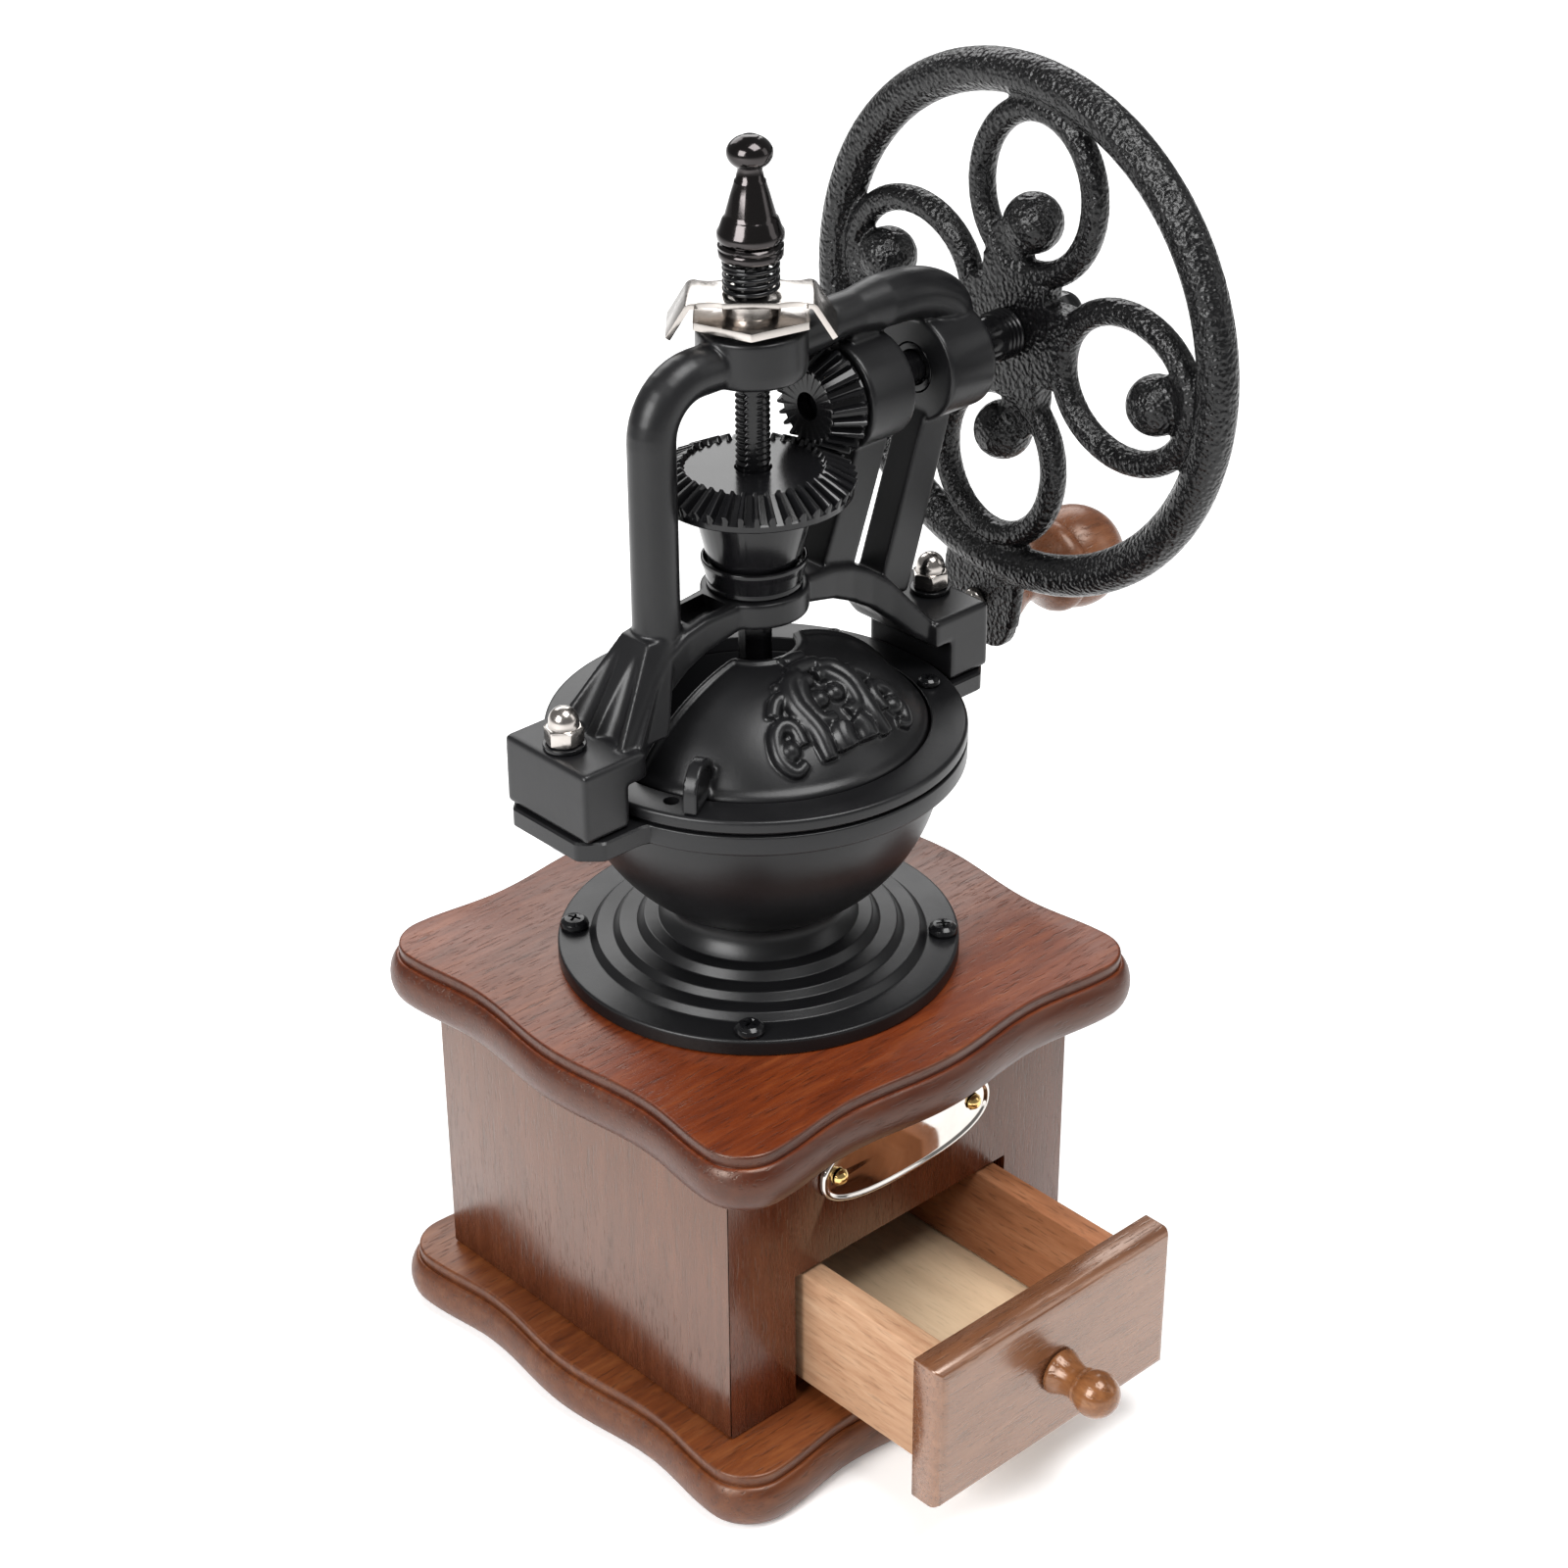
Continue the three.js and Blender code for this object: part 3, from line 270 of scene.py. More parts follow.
def ball(radius, x, y, z, sides=32):
    profile = [(radius * c, radius * s) for c, s in arc(0, 0, 1, -90, 90, sides // 2)]
    profile[0], profile[-1] = (0, profile[0][1]), (0, profile[-1][1])
    return moved(lathe(profile, sides), x, y, z)


def hull(points):
    """The smallest convex solid round the points."""
    bm = bmesh.new()
    for p in points:
        bm.verts.new(p)
    out = bmesh.ops.convex_hull(bm, input=bm.verts)
    loose = [v for v in out["geom_interior"] if isinstance(v, bmesh.types.BMVert)]
    bmesh.ops.delete(bm, geom=loose, context="VERTS")
    bm.verts.index_update()
    shape = np.array([v.co for v in bm.verts], float), [[v.index for v in f.verts] for f in bm.faces]
    bm.free()
    return shape


def height_rod(z0, z1, rows, sides, radius_at):
    """A rod whose radius is worked out from angle and height, such as a thread or a shaft with flats."""
    loops = []
    for k in range(rows + 1):
        z = z0 + (z1 - z0) * k / rows
        loops.append([(radius_at(a, z) * math.cos(a), radius_at(a, z) * math.sin(a), z)
                      for a in (2 * math.pi * i / sides for i in range(sides))])
    return skin(loops)


def to_flats(angle, radius, flat):
    """The radius at this angle of a rod with two flats, each this far from its axis."""
    return min(radius, flat / max(1e-6, abs(math.cos(angle - FLAT_ANGLE))))


def thread(radius, z0, z1, pitch, depth, sides=28, flat=99.0):
    """A threaded rod, with two long flats when flat is less than the radius."""
    def radius_at(angle, z):
        phase = (z / pitch - angle / (2 * math.pi)) % 1.0
        ends = min(1.0, (z - z0) / 0.6, (z1 - z) / 0.6)
        return to_flats(angle, radius - depth + depth * ends * (1 - abs(2 * phase - 1)), flat)
    return height_rod(z0, z1, int((z1 - z0) / pitch * 6), sides, radius_at)


def spiral(radius, z0, z1, turns, wire):
    """A coil with its last half turn at each end closed flat."""
    count = int(turns * 40)
    path = []
    for i in range(count + 1):
        t = i / count
        lift = (t * turns - 0.5) / (turns - 1)
        path.append((radius * math.cos(t * turns * 2 * math.pi), radius * math.sin(t * turns * 2 * math.pi),
                     z0 + (z1 - z0) * min(1.0, max(0.0, lift))))
    return tube(path, wire, 10)


# ---- objects


def make(name, shape):
    """A new object from a shape in millimetres."""
    mesh = bpy.data.meshes.new(name)
    mesh.from_pydata((np.asarray(shape[0], float) * MM).tolist(), [], shape[1])
    bm = bmesh.new()
    bm.from_mesh(mesh)
    bmesh.ops.remove_doubles(bm, verts=bm.verts, dist=1e-7)
    bmesh.ops.recalc_face_normals(bm, faces=bm.faces)
    bm.to_mesh(mesh)
    bm.free()
    obj = bpy.data.objects.new(name, mesh)
    bpy.context.scene.collection.objects.link(obj)
    return obj


def apply(obj):
    """Turns an object's modifiers into its mesh."""
    graph = bpy.context.evaluated_depsgraph_get()
    graph.update()
    mesh = bpy.data.meshes.new_from_object(obj.evaluated_get(graph))
    obj.modifiers.clear()
    obj.data = mesh
    return obj


def combined(obj, shapes, operation):
    """Joins shapes to an object, or cuts them out of it."""
    for shape in shapes:
        other = make("tool", shape)
        change = obj.modifiers.new("boolean", "BOOLEAN")
        change.operation, change.object, change.solver = operation, other, "MANIFOLD"
        apply(obj)
        bpy.data.objects.remove(other)
    return obj


def gathered(obj, *shapes):
    """Adds shapes to an object's mesh as they are, ready to be melted together."""
    bm = bmesh.new()
    bm.from_mesh(obj.data)
    for shape in shapes:
        other = make("tool", shape)
        bm.from_mesh(other.data)
        bpy.data.objects.remove(other)
    bm.to_mesh(obj.data)
    bm.free()
    return obj


def shape_of(obj):
    """The points and faces of an object, which is used up."""
    points = np.array([v.co for v in obj.data.vertices]) / MM
    faces = [list(face.vertices) for face in obj.data.polygons]
    bpy.data.objects.remove(obj)
    return points, faces


def cut(obj, *shapes):
    return combined(obj, shapes, "DIFFERENCE")


def fused(obj, *shapes):
    return combined(obj, shapes, "UNION")


def placed(obj, x, y, z, axis="Z", degrees=0.0):
    """Turns an object's mesh about an axis through the origin, then moves it, in millimetres."""
    turn = Matrix.Rotation(math.radians(degrees), 4, axis)
    obj.data.transform(Matrix.Translation((x * MM, y * MM, z * MM)) @ turn)


def cast(obj, voxel, passes):
    """Melts overlapping shapes into one skin with small fillets, as in a casting."""
    melt = obj.modifiers.new("melt", "REMESH")
    melt.mode, melt.voxel_size = "VOXEL", voxel * MM
    soften = obj.modifiers.new("soften", "SMOOTH")
    soften.factor, soften.iterations = 0.5, passes
    return apply(obj)


def bevel(obj, width, segments=2, angle=32):
    edge = obj.modifiers.new("bevel", "BEVEL")
    edge.width, edge.segments, edge.limit_method = width * MM, segments, "ANGLE"
    edge.angle_limit, edge.use_clamp_overlap, edge.harden_normals = math.radians(angle), True, False
    return apply(obj)


def piece(obj, finish, body, *nodes, angle=40):
    """Gives a finished object its material and its place in the assembly; angle is where edges are sharp."""
    material, slot = finish
    obj.data.shade_smooth()
    obj.data.set_sharp_from_angle(angle=math.radians(angle))
    obj.data.materials.clear()
    obj.data.materials.append(material)
    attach(obj, body)
    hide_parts(*nodes)


# ---- materials


def node(tree, kind, **values):
    made = tree.nodes.new(kind)
    for key, value in values.items():
        if hasattr(made, key):
            setattr(made, key, value)
        else:
            made.inputs[key.replace("_", " ")].default_value = value
    return made


def new_material(name, color, roughness, metallic=0.0):
    material = bpy.data.materials.new(name)
    material.use_nodes = True
    tree = material.node_tree
    shader = tree.nodes["Principled BSDF"]
    shader.inputs["Base Color"].default_value = (*color, 1)
    shader.inputs["Roughness"].default_value = roughness
    shader.inputs["Metallic"].default_value = metallic
    place = node(tree, "ShaderNodeTexCoord")
    return material, tree, shader, place.outputs["Object"]


def stretched(tree, place, scale, turn=(0, 0, 0)):
    mapping = node(tree, "ShaderNodeMapping")
    mapping.inputs["Scale"].default_value = scale
    mapping.inputs["Rotation"].default_value = turn
    tree.links.new(place, mapping.inputs["Vector"])
    return mapping.outputs["Vector"]


def noise_of(tree, vector, scale, detail=4.0, roughness=0.5, distortion=0.0):
    made = node(tree, "ShaderNodeTexNoise", Scale=scale, Detail=detail, Roughness=roughness,
                Distortion=distortion)
    tree.links.new(vector, made.inputs["Vector"])
    return made.outputs["Fac"]


def ramp(tree, factor, stops):
    made = node(tree, "ShaderNodeValToRGB")
    elements = made.color_ramp.elements
    while len(elements) < len(stops):
        elements.new(0.5)
    for element, (position, color) in zip(elements, stops):
        element.position = position
        element.color = (*color, 1)
    tree.links.new(factor, made.inputs["Fac"])
    return made.outputs["Color"]


def mapped(tree, factor, low, high, start=0.0, end=1.0):
    made = node(tree, "ShaderNodeMapRange")
    for key, value in (("From Min", start), ("From Max", end), ("To Min", low), ("To Max", high)):
        made.inputs[key].default_value = value
    tree.links.new(factor, made.inputs["Value"])
    return made.outputs["Result"]


def mixed(tree, factor, a, b):
    made = tree.nodes.new("ShaderNodeMix")
    made.data_type = "RGBA"
    for value, socket in ((factor, 0), (a, 6), (b, 7)):
        if isinstance(value, (int, float)):
            made.inputs[socket].default_value = value
        elif isinstance(value, tuple):
            made.inputs[socket].default_value = (*value, 1)
        else:
            tree.links.new(value, made.inputs[socket])
    return made.outputs[2]


def bump(tree, shader, height, strength, distance, below=None):
    made = node(tree, "ShaderNodeBump", Strength=strength, Distance=distance * MM)
    tree.links.new(height, made.inputs["Height"])
    if below is not None:
        tree.links.new(below, made.inputs["Normal"])
    tree.links.new(made.outputs["Normal"], shader.inputs["Normal"])
    return made.outputs["Normal"]


def black_coating(name, color, roughness, grain, depth):
    """Black paint over metal: slightly uneven gloss and a fine skin texture."""
    material, tree, shader, place = new_material(name, color, roughness)
    shader.inputs["Specular IOR Level"].default_value = 0.33
    patches = noise_of(tree, place, 45, 3)
    tree.links.new(mapped(tree, patches, roughness - 0.05, roughness + 0.05, 0.3, 0.7),
                   shader.inputs["Roughness"])
    lighter = tuple(c * 1.55 for c in color)
    tint = ramp(tree, noise_of(tree, place, 22, 5, 0.6), [(0.35, color), (0.75, lighter)])
    tree.links.new(tint, shader.inputs["Base Color"])
    fine = bump(tree, shader, noise_of(tree, place, grain, 3, 0.6), 0.35, depth)
    bump(tree, shader, noise_of(tree, place, grain / 9, 2), 0.25, depth * 2, fine)
    return material


def hammered_coating():
    """Glossy black hammered enamel, with the small pits that real relief is too fine for."""
    material, tree, shader, place = new_material("hammered_black", (0.004, 0.004, 0.0043), 0.27)
    shader.inputs["Specular IOR Level"].default_value = 0.36
    cells = node(tree, "ShaderNodeTexVoronoi", Scale=950.0)
    cells.feature = "SMOOTH_F1"
    tree.links.new(place, cells.inputs["Vector"])
    under = bump(tree, shader, cells.outputs["Distance"], 1.0, 0.5)
    bump(tree, shader, noise_of(tree, place, 2200, 3, 0.65), 0.6, 0.16, under)
    tree.links.new(mapped(tree, noise_of(tree, place, 260, 2), 0.13, 0.24, 0.3, 0.7),
                   shader.inputs["Roughness"])
    return material


def bare_metal(name, color, roughness, streaks, amount, scratch):
    """Metal with fine brushing, stretched by streaks, that changes its gloss by the amount."""
    material, tree, shader, place = new_material(name, color, roughness, metallic=1.0)
    brushed = noise_of(tree, stretched(tree, place, streaks), 900, 4, 0.6)
    tree.links.new(mapped(tree, brushed, roughness - amount, roughness + amount, 0.3, 0.7),
                   shader.inputs["Roughness"])
    darker = tuple(c * 0.82 for c in color)
    tree.links.new(ramp(tree, noise_of(tree, place, 60, 4, 0.6), [(0.3, darker), (0.62, color)]),
                   shader.inputs["Base Color"])
    bump(tree, shader, brushed, 0.2, scratch)
    return material


def wood(name, dark, middle, light, along, gloss, shine, pores=0.5, bands=45.0, streaks=0.25, edge=0.0):
    """Stained close-grained wood under varnish.

    along is the axis the grain runs on, shine the varnish's index, and edge how much darker the colour
    is on faces that don't lie flat: partly the stain soaking into the edges, partly painted shade.
    """
    material, tree, shader, place = new_material(name, middle, gloss)
    shader.inputs["IOR"].default_value = shine
    shader.inputs["Specular Tint"].default_value = (1.0, 0.83, 0.72, 1)

    def run(share):
        scale = [1.0, 1.0, 1.0]
        scale["XYZ".index(along)] = share
        return stretched(tree, place, scale, (0.03, 0.02, 0.05))

    broad = noise_of(tree, run(0.07), bands, 4, 0.5, 0.5)
    medium = noise_of(tree, run(0.14), bands * 7, 5, 0.65)
    color = ramp(tree, medium, [(0.25, dark), (0.5, middle), (0.78, light)])
    color = mixed(tree, mapped(tree, broad, 0.0, streaks, 0.4, 0.7), color, dark)
    fibre = noise_of(tree, run(0.06), bands * 22, 4, 0.7)
    color = mixed(tree, mapped(tree, fibre, 0.0, 1.4 * streaks, 0.4, 0.75), color, dark)
    flecks = noise_of(tree, run(0.13), 1400, 2, 0.5)
    pits = mapped(tree, flecks, 0.0, 1.0, 0.58, 0.7)
    deep = tuple(c * 0.3 for c in dark)
    color = mixed(tree, mapped(tree, flecks, 0.0, pores, 0.56, 0.7), color, deep)
    # Darker colour on faces that don't face up: partly stain soaked into the edges, partly painted shade.
    if edge:
        facing = tree.nodes.new("ShaderNodeSeparateXYZ")
        tree.links.new(node(tree, "ShaderNodeNewGeometry").outputs["Normal"], facing.inputs["Vector"])
        color = mixed(tree, mapped(tree, facing.outputs["Z"], edge, 0.0, 0.72, 0.98), color, deep)
    tree.links.new(color, shader.inputs["Base Color"])
    rough = mapped(tree, fibre, gloss - 0.05, gloss + 0.07, 0.3, 0.7)
    if edge:
        rougher = node(tree, "ShaderNodeMath", operation="ADD")
        tree.links.new(rough, rougher.inputs[0])
        tree.links.new(mapped(tree, facing.outputs["Z"], 0.04, 0.0, 0.72, 0.98), rougher.inputs[1])
        rough = rougher.outputs["Value"]
    tree.links.new(rough, shader.inputs["Roughness"])
    under = bump(tree, shader, fibre, 0.08 + 0.6 * streaks, 0.12)
    made = node(tree, "ShaderNodeBump", Strength=0.4, Distance=0.12 * MM, invert=True)
    tree.links.new(pits, made.inputs["Height"])
    tree.links.new(under, made.inputs["Normal"])
    tree.links.new(made.outputs["Normal"], shader.inputs["Normal"])
    return material


SATIN_BLACK = black_coating("satin_black", (0.005, 0.005, 0.0055), 0.33, 2600, 0.05), "satin_black_casting"
GLOSS_BLACK = black_coating("gloss_black", (0.004, 0.004, 0.0045), 0.17, 1800, 0.02), "gloss_black_metal"
HAMMERED = hammered_coating(), "hammered_black_casting"
GUNMETAL = bare_metal("black_nickel", (0.055, 0.05, 0.05), 0.13, (1, 1, 8), 0.04, 0.02), "gunmetal_plate"
NICKEL = bare_metal("nickel", (0.5, 0.465, 0.435), 0.2, (1, 1, 1), 0.06, 0.03), "nickel_plate"
CHROME = bare_metal("polished_chrome", (0.66, 0.62, 0.58), 0.08, (1, 1, 1), 0.03, 0.01), "nickel_plate"
STEEL = bare_metal("steel", (0.56, 0.56, 0.57), 0.3, (0.1, 1, 1), 0.1, 0.05), "steel"
BRASS = bare_metal("brass", (0.86, 0.6, 0.24), 0.18, (1, 1, 1), 0.06, 0.03), "brass"
# edge paints the plates' rounded sides darker than their faces: partly stain, partly painted shade.
TOP_WOOD = wood("red_brown_stain", (0.062, 0.0105, 0.0028), (0.125, 0.0225, 0.0048), (0.2, 0.05, 0.013),
                "X", 0.32, 1.56, edge=0.7), "dark_stained_wood"
BASE_WOOD = wood("warm_brown_stain", (0.07, 0.0165, 0.0048), (0.15, 0.04, 0.0105), (0.235, 0.08, 0.024),
                 "X", 0.34, 1.55, edge=0.45), "dark_stained_wood"
WALL_WOOD = wood("wall_stain", (0.046, 0.012, 0.0042), (0.07, 0.019, 0.0073), (0.098, 0.031, 0.0135),
                 "Z", 0.24, 1.85, streaks=0.09), "stained_wall_wood"
# The wall stain again, painted darker for the front wall: painted shade, as the front faces away from the key
# light.
SHADED_FRONT_WOOD = wood("front_wall_stain_painted_shade", (0.05, 0.0105, 0.0032), (0.076, 0.016, 0.0052), (0.102, 0.025, 0.0085),
                  "Z", 0.25, 1.64, 0.3, streaks=0.04), "stained_wall_wood"
PANEL_WOOD = wood("panel_stain", (0.085, 0.03, 0.013), (0.15, 0.06, 0.027), (0.21, 0.093, 0.045),
                  "X", 0.24, 2.15, 0.4, streaks=0.1), "drawer_panel_wood"
RAW_WOOD = wood("raw_beech", (0.3, 0.15, 0.08), (0.43, 0.26, 0.155), (0.53, 0.36, 0.235),
                "Y", 0.6, 1.45, 0.3), "raw_wood"
# The raw beech again, painted darker for the drawer's right side, whose inner face lies in shade: painted
# shade.
SHADED_BEECH = wood("raw_beech_painted_shade", (0.21, 0.078, 0.032), (0.3, 0.12, 0.054), (0.4, 0.185, 0.094),
                  "Y", 0.5, 1.4), "raw_wood"
BOARD = wood("drawer_board", (0.55, 0.4, 0.255), (0.66, 0.49, 0.32), (0.73, 0.575, 0.39),
             "Y", 0.6, 1.45, 0.15, 22.0), "drawer_board"
KNOB_WOOD = wood("knob_wood", (0.1, 0.036, 0.012), (0.2, 0.078, 0.028), (0.3, 0.138, 0.056),
                 "Y", 0.16, 1.6, 0.3), "turned_knob_wood"
CRANK_WOOD = wood("crank_knob_wood", (0.085, 0.03, 0.013), (0.16, 0.058, 0.026), (0.25, 0.105, 0.05),
                  "X", 0.28, 1.5, 0.3), "turned_knob_wood"

# ---- wooden box


def side_depth(share):
    """How far a side lies inside its corners: two hollows and a slight swell in the middle."""
    hollow, swell, turn = 2.3, -0.6, 0.56
    if share < turn:
        return hollow + (swell - hollow) * (0.5 + 0.5 * math.cos(math.pi * share / turn))
    return hollow * (0.5 + 0.5 * math.cos(math.pi * (share - turn) / (1 - turn)))


def plate_outline(half, inset):
    """Outline of a plate with round corner lobes, drawn in all round by the inset."""
    lobe, per_side = 13.6, 72
    side = half - lobe
    out = []
    for quarter in range(4):
        c, s = math.cos(quarter * math.pi / 2), math.sin(quarter * math.pi / 2)
        run = []
        for i in range(per_side + 1):
            along = -side + 2 * side * i / per_side
            run.append((half - inset - side_depth(abs(along) / side), along))
        for i in range(1, 12):
            a = i * math.pi / 24
            run.append((side + (lobe - inset) * math.cos(a), side + (lobe - inset) * math.sin(a)))
        out += [(x * c - y * s, x * s + y * c) for x, y in run]
    return out


def moulded_plate(half, bottom, top):
    """A plate with a bullnose edge, a small ledge above it and a step up to its flat face."""
    nose, step = 4.6, 3.2
    rise = (top - bottom - step) / (1 + math.sin(math.radians(56)))
    ledge = top - step
    levels = [(nose * (1 - c), bottom + rise * (s + 1)) for c, s in arc(0, 0, 1, -90, 56, 16)]
    levels += [(2.5, ledge + 0.02), (2.75, ledge - 0.1), (2.85, ledge + 0.1), (2.75, ledge + 0.7)]
    levels += [(2.62, top - 0.75), (2.7, top - 0.35), (2.95, top - 0.1), (3.4, top)]
    return skin([[(x, y, z) for x, y in plate_outline(half, inset)] for inset, z in levels])


def plates():
    for name, half, z0, z1, material in (("base_plate", 69.4, 0.0, BASE_TOP, BASE_WOOD),
                                         ("top_plate", 69.1, *TOP_PLATE, TOP_WOOD)):
        obj = make(name + "_moulded", moulded_plate(half, z0, z1))
        if name == "top_plate":
            cut(obj, rod(21.5, 90, 120, 96))
        piece(obj, material, "grinder_body", name, angle=50)


def mitred_wall(half, depth):
    """The front wall of a box this far from the middle to its side and front faces."""
    slack, wall = 0.12, 10.0
    plan = [(-half + slack, -depth), (half - slack, -depth),
            (half - wall - slack, -depth + wall), (-half + wall + slack, -depth + wall)]
    return prism(plan, BOX_BOTTOM, BOX_TOP)


def walls():
    x, y = 57.2, 54.2
    # The front wall takes the darker copy of the wall stain, which is painted shade.
    shapes = [("box_front_wall", mitred_wall(x, y), SHADED_FRONT_WOOD),
              ("box_back_wall", turned(mitred_wall(x, y), "Z", 180), WALL_WOOD),
              ("box_right_wall", turned(mitred_wall(y, x), "Z", 90), WALL_WOOD),
              ("box_left_wall", turned(mitred_wall(y, x), "Z", -90), WALL_WOOD)]
    for name, shape, stain in shapes:
        obj = make(name + "_panel", moved(shape, 0, BOX_MIDDLE_Y))
        if name == "box_front_wall":
            mouth = block(-36, 36, -60, -30, 0, 53.6)
            cut(obj, mouth, *pin_holes(-6, 6))
        bevel(obj, 0.45, 3)
        piece(obj, stain, "grinder_body", name)
    for name, x0, x1 in (("left_runner", -46.9, -26.0), ("right_runner", 26.0, 46.9)):
        strip = block(x0, x1, BOX_MIDDLE_Y - 43.9, BOX_MIDDLE_Y + 43.9, BOX_BOTTOM, RUNNER_TOP)
        piece(bevel(make(name + "_strip", strip), 0.4), RAW_WOOD, "grinder_body", name)


# ---- drawer


def drawer():
    edge = [(0.3, 0), (0, 0.3)] + [(3.2 * (1 - c), 9 - 3.2 * (1 - s)) for c, s in arc(0, 0, 1, 0, 90, 8)]
    corners = ((-1, -1), (1, -1), (1, 1), (-1, 1))
    front = make("drawer_front_panel", skin([
        [(sx * (40 - inset), PANEL_BACK - depth, PANEL_MIDDLE + sz * (20.5 - inset)) for sx, sz in corners]
        for inset, depth in edge]))
    cut(front, along_front(rod(2, -12, 4), 0, PANEL_BACK, PANEL_MIDDLE))
    bevel(front, 0.6, 3, 60)
    piece(front, PANEL_WOOD, "drawer", "drawer_front", angle=50)
    y0, y1, z0, z1 = PANEL_BACK + GAP, -1.2, RUNNER_TOP + GAP, 52.5
    groove = block(-30, 30, y0 - 1, y1 - 2, 23.6, 27.2)
    # The right side gets the darker copy of the raw beech, which is painted shade on its shaded inner face.
    for name, x0, x1, beech in (("drawer_left_side", -33.0, -26.5, RAW_WOOD),
                                ("drawer_right_side", 26.5, 33.0, SHADED_BEECH)):
        side = cut(make(name + "_board", block(x0, x1, y0, y1, z0, z1)), groove)
        piece(bevel(side, 0.5, 3), beech, "drawer", name)
    back = bevel(make("drawer_back_board", block(-26.2, 26.2, y1 - 6.5, y1, 27.2, z1)), 0.5, 3)
    piece(back, RAW_WOOD, "drawer", "drawer_back")
    floor = bevel(make("drawer_bottom_board", block(-29.7, 29.7, y0, y1 - 2.3, 23.9, 26.9)), 0.25)
    piece(floor, BOARD, "drawer", "drawer_bottom")


def drawer_knob():
    neck = [(0, 0), (5.5, 0), (5.9, 0.4), (5.7, 1.2), (5.1, 2.4), (4.6, 3.8), (4.25, 5.4), (4.3, 6.8),
            (4.8, 7.8)]
    profile = neck + arc(0, 12, 5.8, -40, 84, 20) + [(0, 17.8)]
    knob = cut(make("drawer_knob_turned", lathe(profile)), rod(1.8, -1, 10))
    placed(knob, 0, PANEL_FRONT - GAP, PANEL_MIDDLE, "X", 90)
    piece(knob, KNOB_WOOD, "drawer", "drawer_knob", angle=60)
    screw = [(0, 9.6), (1.5, 9.6), (1.5, -9.3), (3.4, -9.3), (3.3, -10.3), (2.6, -11.2), (0, -11.2)]
    body = cut(make("drawer_knob_screw_turned", lathe(rounded(screw, 0.2), 48)),
               block(-2.4, 2.4, -0.4, 0.4, -12, -10.2), block(-0.4, 0.4, -2.4, 2.4, -12, -10.2))
    placed(body, 0, PANEL_FRONT, PANEL_MIDDLE, "X", 90)
    piece(body, STEEL, "drawer", "drawer_knob_screw")


# ---- name plate


def pin_holes(z0, z1):
    return [along_front(rod(1.1, z0, z1), x, FACE_Y, PLATE_Z) for x in (-PIN_X, PIN_X)]


def oval(half, rise):
    """An oval with fuller ends than an ellipse."""
    def full(value):
        return math.copysign(abs(value) ** 0.83, value)
    angles = (math.pi * (i + 0.5) / 64 for i in range(128))
    return [(half * full(math.cos(a)), rise * full(math.sin(a))) for a in angles]


def name_plate():
    """A blank plate with a raised rim, and the two nails through it."""
    rims = [(28.2, 10.4, 0), (28.3, 10.5, 0.3), (28.3, 10.5, 1.0), (28.0, 10.25, 1.45), (27.5, 9.8, 1.6),
            (27.0, 9.3, 1.42), (26.7, 9.0, 1.05), (26.2, 8.6, 0.95), (10, 3.2, 1.0)]
    loops = [[(x, y, z) for x, y in oval(half, rise)] for half, rise, z in rims]
    obj = make("name_plate_blank", along_front(skin(loops), 0, FACE_Y, PLATE_Z))
    cut(obj, *pin_holes(-1, 3))
    piece(obj, CHROME, "grinder_body", "name_plate", angle=50)
    shank = [(0, -4.5), (0.8, -4.5), (0.8, 1.25), (2.1, 1.25), (2.15, 1.5)]
    pin = shank + arc(0, 0.9, 2.12, 22, 84, 10) + [(0, 3)]
    for name, x in (("left", -PIN_X), ("right", PIN_X)):
        obj = make("name_plate_pin_head_" + name, along_front(lathe(pin, 48), x, FACE_Y, PLATE_Z))
        piece(obj, BRASS, "grinder_body", "name_plate_pin_" + name, angle=60)


# ---- screws and nuts


def cross_screw(shank, length, head, rise, z0, turn):
    """A round-headed screw with its head on z0 and a cross cut in it."""
    dome = [(head, z0), (head + 0.05, z0 + 0.25 * rise), (head * 0.93, z0 + 0.62 * rise),
            (head * 0.68, z0 + 0.92 * rise), (head * 0.3, z0 + rise), (0, z0 + rise)]
    profile = [(0, z0 - length), (shank, z0 - length), (shank, z0)] + dome
    obj = make("screw", lathe(rounded(profile, 0.18), 48))
    arm, deep = head * 0.58, z0 + rise * 0.3
    for quarter in (0, 90):
        wedge = hull([(sx * arm * k, sy * 0.42 * w, z) for sx in (-1, 1) for sy in (-1, 1)
                      for k, w, z in ((1.0, 1.0, z0 + rise * 1.2), (0.35, 0.6, deep))])
        cut(obj, turned(wedge, "Z", quarter + turn))
    return obj


def screws():
    """The screws of the foot and of the lid ring, each with its cross at another angle."""
    sets = (("flange_screw", FOOT_SCREWS, FOOT_SCREW_REACH, (1.7, 3.9, 3.6, 2.4, FOOT_TOP + GAP), 20, 31),
            ("lid_screw", LID_SCREWS, LID_SCREW_REACH, (1.3, 7.6, 2.7, 1.9, RING_TOP + GAP), 12, 40))
    for kind, places, reach, sizes, first, step in sets:
        for i, (name, angle) in enumerate(places):
            obj = cross_screw(*sizes, first + step * i)
            obj.name = kind + "_head_" + name
            placed(obj, *polar(reach, angle), 0)
            piece(obj, GLOSS_BLACK, "grinder_body", kind + "_" + name, angle=50)


def hexagon(across):
    return [polar(across / math.sqrt(3), 60 * i + 30) for i in range(6)]


